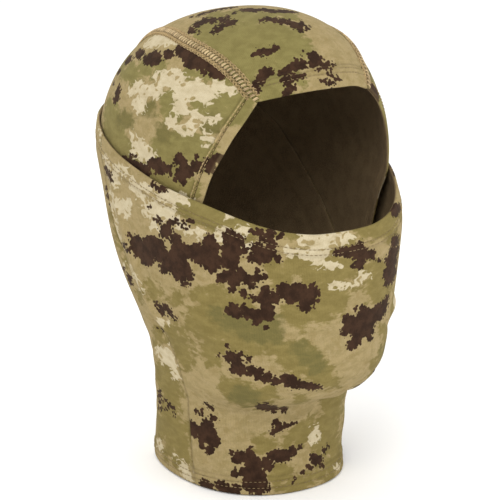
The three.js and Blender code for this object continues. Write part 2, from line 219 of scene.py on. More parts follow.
def section(z, hood=False):
    """Half width, half depth and centre y of the form at a height."""
    z = np.asarray(z, float)
    low = np.minimum(z, CAP_Z)
    front, back = (hood_front_at if hood else front_at)(low), back_at(low)
    centre = (back - front) / 2
    rise = np.clip((z - CAP_Z) / CAP_H, 0, 0.99999)
    cap = (1 - rise ** CAP_POWER) ** (1 / CAP_POWER)
    return (wide_at(low) * cap, (front + back) / 2 * cap,
            centre + (1 - cap) * (CAP_Y - centre))


def form(angle, z):
    """Points of the form by angle from the front towards the left, and height."""
    wide, deep, centre = section(z)
    return np.stack([wide * signed_power(np.sin(angle), 2 / POWER),
                     centre - deep * signed_power(np.cos(angle), 2 / POWER), z + 0 * wide], -1)


def field(points, hood=False):
    """Zero on the form, negative inside it."""
    wide, deep, centre = section(points[..., 2], hood)
    return (np.abs(points[..., 0] / wide) ** POWER
            + np.abs((points[..., 1] - centre) / deep) ** POWER - 1)


def normal_at(points, hood=False):
    probe = 0.6
    slope = []
    for k in range(3):
        ahead, behind = points.copy(), points.copy()
        ahead[..., k] += probe
        behind[..., k] -= probe
        slope.append(field(ahead, hood) - field(behind, hood))
    return unit(np.stack(slope, -1))


def top_z(points):
    """Height of the tube's top edge in the direction of each point."""
    return top_table(np.abs(np.degrees(np.arctan2(points[..., 0], -points[..., 1]))))


def top_of(angle):
    z = np.full(np.shape(angle), 185.0)
    for _ in range(14):
        z = top_z(form(angle, z))
    return z


def angle_of_y(y, z):
    _, deep, centre = section(z)
    return np.arccos(-signed_power(np.clip((y - centre) / deep, -1, 1), POWER / 2))


def to_hood(points):
    """Moves points onto the hood's form along rays from the middle of the head."""
    ray = unit(points - HEAD_CENTRE)
    low, high = np.zeros(ray.shape[:-1]), np.full(ray.shape[:-1], 220.0)
    for _ in range(44):
        reach = (low + high) / 2
        probe = HEAD_CENTRE + ray * reach[..., None]
        inside = (probe[..., 2] < CAP_Z + CAP_H - 1e-6) & (field(probe, True) < 0)
        low, high = np.where(inside, reach, low), np.where(inside, high, reach)
    return HEAD_CENTRE + ray * low[..., None]


# ------------------------------------------------ view, which also sets where the print is laid
AZIMUTH, ELEVATION, ROLL = math.radians(-33.791), math.radians(17.607), math.radians(0.988)
VIEW_DISTANCE = 1500.0
AIM = np.array([0, 0, 140.0])
VIEW_BACK = np.array([math.sin(AZIMUTH) * math.cos(ELEVATION),
                      -math.cos(AZIMUTH) * math.cos(ELEVATION), math.sin(ELEVATION)])
level_right = np.array([math.cos(AZIMUTH), math.sin(AZIMUTH), 0])
level_up = np.cross(VIEW_BACK, level_right)
VIEW_RIGHT = level_right * math.cos(ROLL) + level_up * math.sin(ROLL)
VIEW_UP = -level_right * math.sin(ROLL) + level_up * math.cos(ROLL)
EYE = AIM + VIEW_BACK * VIEW_DISTANCE

# ------------------------------------------------ print
# Lobes of the patches by panel and colour: x, y, z and radius, in tenths of a millimetre.
PRINT = {
    "crown": {
        "dark": """
-388 66 2645 23  -392 -17 2645 10  -338 81 2672 23  -293 76 2691 25  -277 16 2701 25
-249 -24 2712 15  -231 -49 2718 9  -358 -101 2664 9  -334 -116 2676 22  -297 -110 2694 19
-256 -99 2711 16  -251 -133 2711 18  -224 -133 2719 10  -203 -28 2726 7  -148 -7 2735 11
-262 266 2671 7  -234 234 2686 11  -191 216 2700 13  -135 205 2710 13  -77 188 2719 12
-25 161 2726 11  -82 22 2740 9  -216 224 2693 12  -166 208 2706 13  -105 196 2715 13
-56 166 2724 12  -65 8 2742 15  -43 -31 2746 18  -6 -58 2747 16  25 -91 2747 16
51 -134 2747 18  94 -151 2746 16  145 -157 2738 13  -44 -6 2744 20  -35 -54 2747 18
26 -58 2747 15  32 -121 2747 18  72 -144 2747 18  119 -147 2743 15  195 -138 2728 9
-124 -251 2735 13  -81 -248 2741 19  -58 -286 2737 19  -30 -315 2731 19  1 -331 2728 15
19 -366 2715 23  76 -352 2718 16  38 -399 2702 20  86 -399 2697 15  21 -433 2685 8
-308 -439 2595 12  -269 -452 2610 23  -236 -474 2611 23  -192 -478 2626 18  -177 -480 2631 9
-361 -555 2442 23  -326 -551 2483 29  -295 -544 2512 32  -274 -554 2517 23  -357 -538 2467 12
-352 -572 2428 12  -221 -585 2512 16  -183 -588 2525 26  -130 -589 2542 26  -78 -592 2548 26
-110 -569 2570 12  6 -569 2579 26  -1 -590 2555 26  -22 -601 2543 18  34 -589 2557 23
65 -605 2533 19  86 -605 2530 12  120 -606 2524 10  -224 -610 2477 15  -189 -619 2481 19
-146 -625 2488 19  -108 -628 2496 16  -196 -630 2461 13  -106 -635 2485 12  5 -622 2515 9
54 -622 2515 8  88 -623 2508 7  54 -641 2484 8  87 -645 2475 10  101 -655 2458 8
131 -652 2453 8  2 -659 2460 8  33 -664 2451 8  57 -669 2440 12  95 -665 2440 8
-44 -547 2600 9  -208 -649 2426 20  -177 -652 2435 18  -232 -644 2417 12""",
        "green": """
-332 -1 2679 41  -420 -35 2627 29  -387 -171 2640 58  -355 -285 2637 82  -251 -327 2679 82
-164 -396 2683 82  -83 -475 2656 70  -51 -527 2617 53  -348 -427 2575 82  -272 -511 2561 70
-163 -546 2578 58  -418 -445 2497 47  -401 -501 2462 47  -398 -558 2396 35  -321 -599 2418 47
-274 -606 2447 47  -230 -640 2426 29  -164 -91 2735 47  -105 -165 2744 47  -7 -181 2747 29
79 -254 2741 23  -326 -199 2672 58  -207 91 2716 23  -232 -601 2486 29  -126 -642 2470 23"""},
    "side_right": {
        "dark": """
-432 -406 2513 29  -469 -383 2490 23  -490 -334 2493 29  -485 -244 2541 35  -407 -387 2551 23
-557 581 2319 18  -534 515 2399 30  -539 379 2462 32  -565 173 2482 44  -539 68 2521 30
-500 -15 2560 40  -518 -140 2530 50  -506 -217 2525 40  -480 -295 2526 33  -458 -342 2527 17
-517 -282 2488 15  -475 -214 2560 29  -485 -139 2565 35  -575 236 2461 29  -533 693 2239 14
-602 569 2251 12  -646 423 2274 13  -660 419 2244 18  -676 404 2214 20  -684 409 2185 12
-755 182 1918 17  -756 129 1904 23  -756 55 1909 29  -754 -5 1897 29  -750 -48 1893 29
-741 -96 1958 27  -731 -153 1970 27  -733 -156 1931 29  -723 -201 1941 23  -712 -243 1964 13
-754 119 1950 8  -754 70 1959 8  -688 -300 2021 31  -679 -334 1995 19  -687 -323 1947 38
-669 -366 1962 32  -648 -403 2001 29  -635 -430 2000 27  -604 -476 2032 32  -579 -506 2056 27
-559 -532 2073 12  -602 -484 1995 21  -684 -332 1916 16  -704 -280 1899 10  -643 -401 2053 9
-685 -333 1886 9  -713 -246 1928 12""",
        "pale": """
-482 384 2515 23  -478 317 2542 35  -466 236 2571 35  -455 154 2593 32  -468 49 2589 21
-409 354 2580 23  -623 -21 2405 41  -586 -83 2454 20  -617 -85 2405 35  -582 -172 2440 23
-619 59 2414 14  -655 -25 2343 21  -672 -4 2308 11  -672 133 2311 35  -678 222 2285 29
-654 200 2340 20  -665 58 2327 23  -696 117 2251 35  -707 98 2217 23  -618 -207 2360 41
-584 -272 2390 53  -558 -348 2384 47  -514 -385 2426 29  -494 -399 2446 14  -475 -452 2423 23
-457 -472 2425 14  -640 -219 2307 29  -636 -261 2290 23  -655 -196 2284 14  -548 -393 2361 20
-553 -280 2440 14  -618 -328 2277 23  -596 -387 2261 23  -569 -440 2257 20  -543 -468 2280 11
-673 -227 2208 18  -646 -315 2206 18  -683 -194 2206 18  -669 -266 2188 23  -648 -328 2180 23
-633 -353 2197 13  -602 -422 2190 14  -602 -435 2160 19  -610 -437 2129 14  -588 -460 2157 9
-741 143 2074 9  -743 114 2054 16  -744 37 2052 16  -748 42 2012 29  -746 -29 1995 35
-738 -91 1996 23  -750 -24 1948 12  -753 85 1968 18""",
        "green": """
-715 389 2081 53  -739 302 2010 64  -751 193 1967 58  -724 -153 2048 47  -692 -259 2092 70
-641 -385 2104 70  -614 -446 2075 58  -728 -160 1992 35  -605 207 2425 35  -598 79 2446 35
-609 388 2363 35  -542 569 2351 29  -652 -137 2322 41  -668 -143 2280 41  -673 -194 2235 35
-587 -347 2327 47  -540 -426 2339 53  -488 -476 2377 53  -446 -490 2420 47  -473 -389 2481 41
-517 -285 2486 29  -556 -192 2471 23  -418 -487 2461 35  -472 -532 2320 41  -523 -492 2284 29
-692 -314 1875 47  -666 -377 1864 41  -701 -285 1915 29  -638 262 2359 29  -412 -539 2404 35
-463 -560 2292 29  -681 469 2141 35""",
        "deep": """
-726 214 2135 41  -695 4 2249 35  -704 -171 2141 41  -580 -440 2223 35"""},
    "front": {
        "dark": """
-742 417 1803 11  -748 377 1790 13  -752 349 1774 13  -753 323 1757 11  -760 -128 1840 12
-751 -186 1830 19  -741 -232 1830 12  -763 -109 1706 9  -755 -167 1654 12  -753 -184 1643 12
-738 -280 1659 13  -736 -297 1659 13  -729 -323 1683 10  -728 -332 1670 10  -693 -433 1698 19
-713 -382 1678 10  -715 -379 1657 9  -706 -407 1653 8  -748 135 1478 11  -743 -249 1610 33
-745 -229 1577 18  -732 -305 1576 20  -729 225 1388 15  -735 164 1378 18  -749 64 1457 33
-745 31 1410 41  -750 -90 1479 53  -743 -53 1385 44  -746 -170 1487 44  -739 -196 1439 38
-746 -230 1591 23  -725 -331 1569 29  -722 -337 1509 41  -709 -389 1508 47  -724 -294 1417 50
-730 -219 1369 29  -707 -364 1407 50  -709 -344 1361 35  -692 -413 1378 23  -728 -276 1440 35
-684 -469 1527 47  -649 -554 1618 29  -649 -555 1558 53  -640 -567 1494 53  -638 -565 1453 29
-668 -505 1494 35  -613 -618 1497 23  -591 -650 1655 33  -555 -699 1636 35  -596 -648 1582 35
-569 -688 1576 35  -584 -666 1519 47  -536 -729 1582 23  -509 -758 1546 23  -576 -675 1493 29
-573 -666 1675 12  -500 -742 1692 12  -468 -772 1687 23  -423 -811 1683 23  -388 -839 1670 15
-361 -851 1680 10  -457 -796 1654 20  -427 -818 1655 20  -467 -802 1572 47  -432 -828 1589 35
-477 -792 1540 23  -443 -820 1542 23  -396 -855 1544 20  -488 -779 1601 29  -420 -832 1625 23
-698 -375 1317 12  -688 -413 1323 10  -686 -428 1358 8  -605 -620 1409 29  -577 -669 1434 35
-566 -677 1385 29  -545 -713 1442 23  -525 -734 1421 23  -498 -758 1384 20  -619 -594 1381 8
-546 -711 1467 12  -573 -665 1343 16  -527 -723 1330 23  -484 -777 1430 25  -496 -754 1319 9
-484 -764 1293 9  -446 -813 1444 18  -480 -785 1473 15  -576 -639 1216 22  -564 -664 1243 25
-545 -683 1206 29  -524 -716 1244 21  -500 -737 1209 29  -467 -773 1207 35  -468 -765 1166 20
-441 -811 1356 32  -447 -799 1312 35  -430 -809 1257 38  -423 -811 1217 37  -428 -797 1138 13
-398 -839 1315 29  -363 -864 1371 35  -322 -884 1338 50  -283 -905 1361 41  -237 -917 1317 47
-210 -929 1379 19  -185 -933 1337 20  -175 -933 1292 15  -263 -905 1264 21  -233 -914 1253 23
-202 -922 1250 8  -76 -961 1560 18  -23 -962 1555 27  32 -962 1550 29  90 -959 1524 38
80 -959 1572 23  89 -957 1594 8  173 -947 1506 26  234 -929 1460 15  84 -958 1478 26
86 -956 1445 15  38 -959 1463 12  482 -764 1683 23  425 -813 1674 23  402 -852 1539 12
438 -808 1531 12  403 -850 1505 19  437 -808 1510 18  468 -782 1519 14  386 -860 1473 15
474 -774 1467 12  383 -858 1439 25  425 -813 1434 21  464 -781 1441 20  368 -866 1410 29
409 -823 1406 25  376 -859 1377 25  461 -777 1367 17  347 -873 1338 27  379 -838 1340 23
372 -856 1304 28  414 -812 1319 30  459 -774 1313 20  342 -870 1281 14  384 -829 1271 11
414 -809 1282 11  365 -850 1196 12  340 -860 1162 23  325 -866 1130 26  272 -891 1141 23
228 -906 1138 25  215 -908 1109 27  196 -911 1078 28  77 -934 1126 29  74 -931 1076 29
287 -887 1160 18  281 -884 1104 26  155 -926 1156 35  150 -923 1108 44  27 -937 1150 26
31 -934 1109 29  15 -933 1071 23  190 -910 1041 35  124 -924 1041 32  68 -927 980 26
106 -924 1004 29  219 -898 983 12  79 -939 1201 10  124 -935 1204 10  -702 -76 1116 12
-695 -115 1092 19  -702 -176 1125 15  -693 -211 1099 19  -682 -256 1073 12  -688 -141 1064 9
-573 -546 927 9  -559 -606 995 9  -541 -614 929 29  -520 -653 937 20  -479 -708 933 16
-508 -680 967 9  -516 -647 893 29  -522 -623 853 23  -496 -665 854 27  -464 -710 858 29
-430 -751 869 15  -436 -738 839 27  -398 -774 830 29  -360 -800 810 21  -311 -835 821 32
-273 -857 823 21  -283 -837 780 20  -255 -855 791 21  -224 -865 781 22  -190 -871 771 19
-161 -875 763 16  -129 -877 753 13  -105 -877 746 9  -329 -602 584 20  -295 -617 582 27
-219 -584 547 25  -141 -574 524 22  -173 -544 438 20  -153 -543 401 25  -113 -550 403 16
-81 -555 406 11  -45 -556 407 8  -190 -533 382 11  -181 -534 361 13  -305 -484 239 29
-365 -443 214 33  -289 -495 187 47  -223 -522 195 29  -210 -531 163 21  -342 -465 137 27
-300 -498 116 41  -312 -500 63 47  -253 -532 78 35  -224 -556 32 18  -378 -437 126 23
-271 -533 41 29  -305 -483 286 9  -324 -473 263 8  -394 -419 251 12  -355 -452 237 27
-263 -518 111 41  -196 -535 160 15  -186 -532 239 25  -147 -541 217 36  -100 -549 218 32
-48 -552 232 23  -3 -552 254 11  -56 -550 264 8  3 -575 101 12  52 -569 120 19
114 -555 150 33  87 -555 172 18  182 -536 185 13  219 -523 203 8  155 -559 102 10
-58 -579 80 8  -70 -585 60 8  -537 -202 380 27  -525 -233 353 35  -496 -309 401 37
-489 -311 351 47  -467 -340 314 35  -458 -350 287 19  -477 -320 251 23  -504 -275 306 29
-499 -274 254 13  -523 -337 554 8  -499 -348 529 9  -484 -362 520 8  -532 -253 482 9
-519 -289 499 9  -514 -287 469 8  -480 -345 460 16  -458 -371 461 12  -487 -278 30 26
-475 -309 17 23  -439 -376 40 33  -416 -411 26 27  -377 -452 34 27""",
        "pale": """
-739 450 1861 15  -750 397 1839 16  -750 374 1803 15  -762 298 1800 16  -759 291 1766 18
-763 252 1752 16  -737 351 1663 13  -728 355 1594 19  -748 265 1627 16  -757 182 1632 21
-766 113 1682 13  -712 393 1539 15  -773 56 1792 16  -771 5 1781 19  -768 -44 1752 15
-762 -110 1698 22  -757 -167 1718 22  -748 -227 1710 22  -740 -245 1795 19  -726 -296 1806 22
-723 329 1497 12  -706 370 1435 11  -716 307 1405 11  -711 202 1251 14  -711 157 1216 18
-707 119 1178 18  -704 79 1146 15  -756 162 1596 18  -666 -47 994 18  -670 -142 1006 15
-773 215 1858 19  -776 133 1852 20  -773 25 1818 18  -766 -88 1813 19  -752 -188 1796 20
-730 -275 1823 26  -711 -341 1810 20  -690 -402 1796 12  -734 -270 1788 20  -756 207 1638 16
-756 179 1618 18  -764 -60 1670 20  -758 -150 1679 29  -747 -231 1693 29  -736 -285 1725 23
-732 -304 1696 23  -756 -148 1604 20  -753 -167 1582 14  -721 -358 1662 23  -704 -416 1642 20
-677 -491 1645 23  -663 -529 1620 20  -612 -612 1667 23  -586 -642 1691 14  -621 -605 1621 20
-527 -711 1694 26  -549 -700 1668 20  -523 -743 1610 20  -514 -753 1591 14  -287 -899 1647 14
-242 -910 1658 26  -196 -922 1661 26  -146 -942 1636 32  -87 -946 1643 26  -18 -952 1638 20
28 -952 1633 11  -38 -957 1614 14  -333 -890 1582 20  -278 -915 1580 20  -204 -938 1582 32
-158 -949 1562 32  -197 -942 1521 26  -132 -953 1497 12  -89 -958 1481 9  -45 -960 1473 8
-197 -938 1612 20  -352 -879 1598 11  100 -951 1402 9  162 -942 1385 9  133 -946 1371 11
64 -952 1362 11  9 -953 1356 8  -54 -952 1359 11  -100 -950 1369 12  97 -547 319 15
128 -543 287 13  79 -549 276 15  105 -548 349 11  291 -517 56 13  -570 -627 1760 7
-570 -638 1739 7""",
        "green": """
-714 -351 1761 29  -690 -417 1763 41  -657 -488 1765 47  -622 -557 1755 47  -583 -618 1742 41
-537 -689 1719 35  -491 -738 1714 35  -450 -775 1712 23  -646 -534 1718 35  -680 -463 1716 23
-609 -599 1707 23  -524 -730 1659 18  -323 -861 1697 23  -274 -887 1685 18  -389 -823 1703 18
119 -944 1643 29  213 -928 1635 35  312 -888 1650 35  389 -839 1671 29  28 -960 1587 23
-287 -912 1533 47  -173 -944 1453 53  -48 -959 1448 58  30 -961 1493 47  -116 -956 1517 23
-336 -888 1500 35  -226 -926 1399 29  -39 -951 1339 47  -127 -943 1317 53  -72 -944 1248 47
-168 -928 1214 53  -267 -897 1199 47  -322 -877 1250 35  197 -930 1327 41  242 -910 1242 41
317 -883 1268 29  170 -942 1429 29  302 -898 1371 35  367 -874 1566 23  -380 -859 1418 35
-420 -837 1499 29  -618 -582 1296 47  -631 -541 1228 47  -645 -482 1153 47  -655 -415 1087 35
-626 -495 1071 41  -607 -567 1137 53  -572 -617 1087 58  -523 -685 1063 58  -578 -567 989 41
-542 -673 1122 47  -660 -482 1274 29  -516 -729 1287 35  -546 -694 1293 23  -599 -613 1267 29
-578 -507 874 29  -597 -494 946 41  -439 -780 1065 47  -375 -825 1032 41  -481 -725 1008 35
-255 -887 993 47  -207 -898 940 53  -158 -908 886 47  -271 -873 933 35  -103 -909 828 35
-324 -851 971 29  -51 -897 778 29  -256 -873 870 29  444 -735 812 29  344 -795 765 23
460 -729 881 23  373 -822 987 23  -490 -604 708 41  -453 -650 692 53  -405 -700 687 41
-524 -553 722 29  -370 -747 720 29  -160 -763 634 23  205 -546 500 35  260 -513 403 47
228 -520 337 58  195 -529 271 58  274 -504 169 47  129 -544 240 35  49 -553 360 35
-7 -552 322 29  283 -515 82 29  -75 -550 310 23  -245 -513 308 29  -198 -527 291 23
-266 -504 297 23  -120 -562 112 35  -81 -589 38 35  -24 -589 50 35  -171 -556 96 29
48 -586 58 23  111 -576 66 18  214 -553 60 18  -625 -243 859 35  -613 -268 804 29
-659 -168 976 29  -647 -235 946 35  -699 99 1133 18  -713 -100 1170 18  -723 -51 1224 12
-702 -297 1203 23""",
        "deep": """
-558 -655 1155 47  -507 -719 1130 41  -434 -790 1115 47  -402 -821 1153 41  -378 -827 1080 35
-463 -756 1074 29  -255 -887 1005 35  -208 -899 952 41  -147 -911 897 35  452 -742 825 23
-473 -619 686 41  -427 -672 682 35  -611 -572 1186 29"""},
    "back": {
        "dark": """
-747 397 1809 11  -752 360 1789 12  -754 324 1766 12  -710 460 1667 9  -710 438 1620 12
-712 410 1571 9  -676 320 1206 12  -688 240 1178 21  -679 242 1144 16  -646 -23 937 8
-649 -70 941 8  -561 105 497 10  -557 108 461 12  -552 112 422 12  -547 122 375 9
-567 24 464 8  -567 -15 449 10  -564 -12 424 10  -556 65 390 8  -564 -55 440 8
-560 -55 392 9""",
        "pale": """
-705 532 2018 12  -725 479 1995 12  -734 453 1964 12  -743 425 1933 12  -748 406 1903 12
-725 372 1597 12  -713 148 1219 12  -712 59 1175 15  -705 -18 1127 15  -696 279 1249 9
-680 -123 1036 15  -680 -203 1047 15  -676 -300 1069 9  -601 15 770 26  -610 -62 782 32
-625 -125 853 15  -608 -93 756 26  -600 -21 731 21  -606 -144 730 14  -598 -119 670 14
-599 -156 676 11  -591 74 763 15  -516 202 134 15  -525 153 109 20  -541 -35 128 11
-533 -99 97 20  -526 -138 67 26  -517 -179 48 23""",
        "green": """
-668 594 2086 18  -744 408 1973 18  -755 365 1914 18  -706 403 1511 18  -715 343 1456 18
-700 345 1355 18  -714 220 1283 18  -688 117 1102 18  -628 14 889 23  -640 -115 907 29
-592 93 796 18  -590 8 662 41  -584 -29 586 47  -577 -62 533 47  -583 18 595 35
-567 -24 456 47  -557 12 342 53  -553 -49 287 53  -547 -84 222 47  -536 -133 162 29
-546 96 260 41  -538 62 118 23  -537 -48 93 18  -536 157 301 23  -546 -147 331 23
-567 110 612 18"""},
}
# How near lobes run together, and the chance patches: how many, how far apart, lobe radius
# from and to, sideways stretch, number of lobes from and up to.
KINDS = {
    "dark": (0.62, dict(count=24, spacing=40, radius=(2.2, 5.0), stretch=1.65, chain=(7, 14))),
    "pale": (1.0, dict(count=18, spacing=42, radius=(2.0, 4.4), stretch=1.7, chain=(7, 14))),
    "green": (2.0, dict(count=30, spacing=30, radius=(5.5, 10.0), stretch=1.2, chain=(4, 8))),
    "deep": (2.0, dict(count=12, spacing=46, radius=(4.0, 7.0), stretch=1.2, chain=(3, 6))),
}
SLANT = {"front": 6.0, "crown": 2.9}      # depth of a lobe along the sight line, in radii
OTHER_SLANT, MAX_DEPTH = 3.2, 20.0
panel_prints = {}


def walk(points, normals, free, count, spacing, radius, stretch, chain):
    """Chance patches for cloth the layout doesn't cover: short wandering chains of lobes."""
    pool = np.where(free)[0]
    if len(pool) > 9000:
        pool = pool[::len(pool) // 9000 + 1]
    if len(pool) == 0:
        return np.zeros((0, 7))
    spots, outs = points[pool], normals[pool]
    order = rng.permutation(len(spots))
    gap = np.full(len(spots), 1e9)
    found = []

    def nearest(goal):
        return int(((spots - goal) ** 2).sum(1).argmin())

    for _ in range(count):
        left = order[gap[order] > spacing]
        if len(left) == 0:
            break
        i = int(left[0])
        gap = np.minimum(gap, np.linalg.norm(spots - spots[i], axis=1))
        trend = rng.choice([0.0, math.pi]) + rng.uniform(-0.35, 0.35)
        length = int(rng.integers(*chain))
        for k in range(length):
            out = outs[i]
            level = unit(np.cross([0, 0, 1.0], out))
            rise = np.cross(out, level)
            size = rng.uniform(*radius) * (1.0 - 0.4 * (2 * k / length - 1) ** 2)
            found.append([*spots[i], size, *out])
            # satellites: likelihood, distance and size in radii of the lobe
            for chance, far, share in ((0.8, 0.95, rng.uniform(0.6, 1.05)),
                                       (0.6, 1.25, rng.uniform(0.35, 0.7)),
                                       (0.4, 1.9, rng.uniform(0.2, 0.32))):
                if rng.random() < chance:
                    angle = rng.uniform(0, 2 * math.pi)
                    way = level * math.cos(angle) + rise * math.sin(angle)
                    j = nearest(spots[i] + way * size * far)
                    found.append([*spots[j], size * share, *outs[j]])
            heading = trend + rng.normal(0, 0.75)
            way = level * math.cos(heading) * stretch + rise * math.sin(heading)
            goal = spots[i] + way * size
            j = nearest(goal)
            if np.linalg.norm(spots[j] - goal) > 0.9 * size + 1.0:      # off the cloth: turn
                trend += math.pi * 0.8
            else:
                i = j
    return np.array(found)


def reach_of(points, table, merge, slant):
    """Distance from each point to the nearest patch edge, negative inside; close lobes merge.

    A lobe is drawn out along its own direction, so that it keeps its outline on sloping cloth."""
    total = np.full(len(points), math.exp(-30.0 / merge))
    for i in range(0, len(table), 24):
        part = table[i:i + 24].astype(np.float32)
        offset = points[:, None, :].astype(np.float32) - part[None, :, :3]
        along = (offset * part[:, 4:7][None]).sum(2)
        across = np.maximum((offset ** 2).sum(2) - along ** 2, 0)
        radius = part[None, :, 3]
        deep = np.clip(slant * radius, 5.0, MAX_DEPTH)
        gap = np.maximum((np.sqrt(across / radius ** 2 + (along / deep) ** 2) - 1) * radius,
                         np.abs(along) - deep)
        total = total + np.exp(-gap / merge).sum(1)
    return -merge * np.log(total)


def lay_print(panel, points, normals):
    """Fixes the print of a panel: laid-out patches and, on cloth turned away, chance ones."""
    layout = PRINT.get(panel, {})
    if layout:
        hood = panel in ("crown", "side_right")
        free = (unit(EYE - points) * normal_at(points, hood)).sum(-1) < -0.06
        if hood:
            free |= points[:, 2] < top_z(points) - 3          # cloth that the tube covers
    else:
        free = np.ones(len(points), bool)
    tables = {}
    for kind, (_, settings) in KINDS.items():
        chance = walk(points, normals, free, **settings)
        if kind == "pale" and len(chance) and len(tables["dark"]):
            # beside the dark patches, seldom under them
            dark = tables["dark"]
            room = (np.linalg.norm(chance[:, None, :3] - dark[None, :, :3], axis=2)
                    - dark[None, :, 3])
            chance = chance[(room.min(1) > 3.5) | (rng.random(len(chance)) < 0.15)]
        parts = [chance]
        if kind in layout:
            laid = numbers(layout[kind], 4) / 10
            parts.insert(0, np.hstack([laid, unit(EYE - laid[:, :3])]))
        tables[kind] = np.vstack(parts)
    panel_prints[panel] = tables


def print_attributes(panel, points):
    slant = SLANT.get(panel, OTHER_SLANT)
    return {kind: reach_of(points, table, KINDS[kind][0], slant)
            for kind, table in panel_prints[panel].items()}


# ------------------------------------------------ meshes
def mesh(name, verts, quads, materials, attributes, face_material=None):
    data = bpy.data.meshes.new(name)
    data.from_pydata(((verts - ORIGIN) * MM).tolist(), [], quads.tolist())
    data.polygons.foreach_set("use_smooth", np.ones(len(data.polygons), bool))
    for material in materials:
        data.materials.append(material)
    if face_material is not None:
        data.polygons.foreach_set("material_index", face_material.astype(np.int32))
    for key, value in attributes.items():
        value = np.asarray(value, np.float32)
        if value.ndim == 1:
            data.attributes.new(key, "FLOAT", "POINT").data.foreach_set("value", value)
        else:
            layer = data.attributes.new(key, "FLOAT_VECTOR", "POINT")
            layer.data.foreach_set("vector", value.ravel())
    data.update()
    ob = bpy.data.objects.new(name, data)
    bpy.context.scene.collection.objects.link(ob)
    return ob


def grid_normals(grid, outward):
    normals = unit(np.cross(np.gradient(grid, axis=0), np.gradient(grid, axis=1)))
    return -normals if (normals * outward).sum() < 0 else normals


ROLL_STEPS = (0.25, 0.5, 0.75)       # rings of the rounded edge, in half turns


def cloth(name, outer, normal, thick, crease, panel, materials, lining_from=0.5):
    """A panel as a closed sheet: outer grid, inner grid, rounded edge all the way round."""
    rows, cols = outer.shape[:2]
    size = rows * cols
    inner = outer - normal * thick[..., None]
    grid = np.arange(size).reshape(rows, cols)
    loop = np.r_[grid[0, :-1], grid[:-1, -1], grid[-1, :0:-1], grid[:0:-1, 0]]
    count = len(loop)
    flat_outer, flat_inner = outer.reshape(-1, 3), inner.reshape(-1, 3)
    flat_normal = normal.reshape(-1, 3)
    away = np.zeros_like(outer)
    away[0] += outer[0] - outer[1]
    away[-1] += outer[-1] - outer[-2]
    away[:, 0] += outer[:, 0] - outer[:, 1]
    away[:, -1] += outer[:, -1] - outer[:, -2]
    away = away - (away * normal).sum(-1, keepdims=True) * normal
    away = unit(away).reshape(-1, 3)[loop]
    middle = (flat_outer[loop] + flat_inner[loop]) / 2
    half = (thick.reshape(-1)[loop] / 2)[:, None]
    rings = [middle + flat_normal[loop] * half * math.cos(math.pi * k)
             + away * half * math.sin(math.pi * k) for k in ROLL_STEPS]
    verts = np.vstack([flat_outer, flat_inner] + rings)
    ring_ids = ([loop] + [2 * size + i * count + np.arange(count) for i in range(len(rings))]
                + [loop + size])
    outer_faces = np.stack([grid[:-1, :-1].ravel(), grid[:-1, 1:].ravel(),
                            grid[1:, 1:].ravel(), grid[1:, :-1].ravel()], 1)
    faces = [outer_faces, outer_faces[:, ::-1] + size]
    lined = [np.zeros(len(outer_faces), int), np.ones(len(outer_faces), int)]
    bands = len(ring_ids) - 1
    for k in range(bands):
        near, far = ring_ids[k], ring_ids[k + 1]
        faces.append(np.stack([near, far, np.roll(far, -1), np.roll(near, -1)], 1))
        lined.append(np.full(count, int((k + 0.5) / bands > lining_from)))
    quads = np.vstack(faces)
    corners = verts[outer_faces]
    turned = np.cross(corners[:, 1] - corners[:, 0], corners[:, 3] - corners[:, 0])
    if (turned * flat_normal[outer_faces[:, 0]]).sum() < 0:      # faces must look outward
        quads = quads[:, ::-1]

    attributes = {"rest": verts}
    source = np.r_[np.arange(size), np.arange(size), *[loop] * len(rings)].astype(int)
    if panel is not None:
        for key, value in print_attributes(panel, flat_outer).items():
            attributes[key] = value[source]
    across = run_along(outer, 1)
    across = across - across[:, cols // 2:cols // 2 + 1]
    knit = np.stack([across, run_along(outer, 0), np.zeros_like(across)], -1)
    attributes["knit"] = knit.reshape(-1, 3)[source]
    # painted shade (positive) and painted highlight (negative), handed to the shader
    if crease is not None:
        attributes["crease"] = crease.reshape(-1)[source]
    return mesh(name, verts, quads, materials, attributes, np.concatenate(lined))


TUBE_SIDES = 6


def tubes(name, paths, radii, hints, material):
    """Threads: paths (N,K,3), radii (N,K), hints (N,K,3) pointing off the cloth."""
    count, steps = paths.shape[:2]
    forward = unit(np.gradient(paths, axis=1))
    side = unit(np.cross(forward, hints))
    rise = np.cross(side, forward)
    angle = (np.arange(TUBE_SIDES) / TUBE_SIDES * 2 * math.pi)[None, None, :, None]
    ring = paths[:, :, None] + radii[:, :, None, None] * (np.cos(angle) * side[:, :, None]
                                                          + np.sin(angle) * rise[:, :, None])
    verts = ring.reshape(-1, 3)
    index = np.arange(count * steps * TUBE_SIDES).reshape(count, steps, TUBE_SIDES)
    near, far = index[:, :-1], index[:, 1:]
    quads = [np.stack([near, np.roll(near, -1, 2), np.roll(far, -1, 2), far], -1).reshape(-1, 4)]
    for end, turn in ((index[:, 0], -1), (index[:, -1], 1)):
        for corners in ([0, 1, 2, 3], [0, 3, 4, 5]):
            quads.append(end[:, corners][:, ::turn])
    tone = np.repeat(rng.uniform(0, 1, count), steps * TUBE_SIDES)
    return mesh(name, verts, np.vstack(quads), [material], {"rest": verts, "tone": tone})


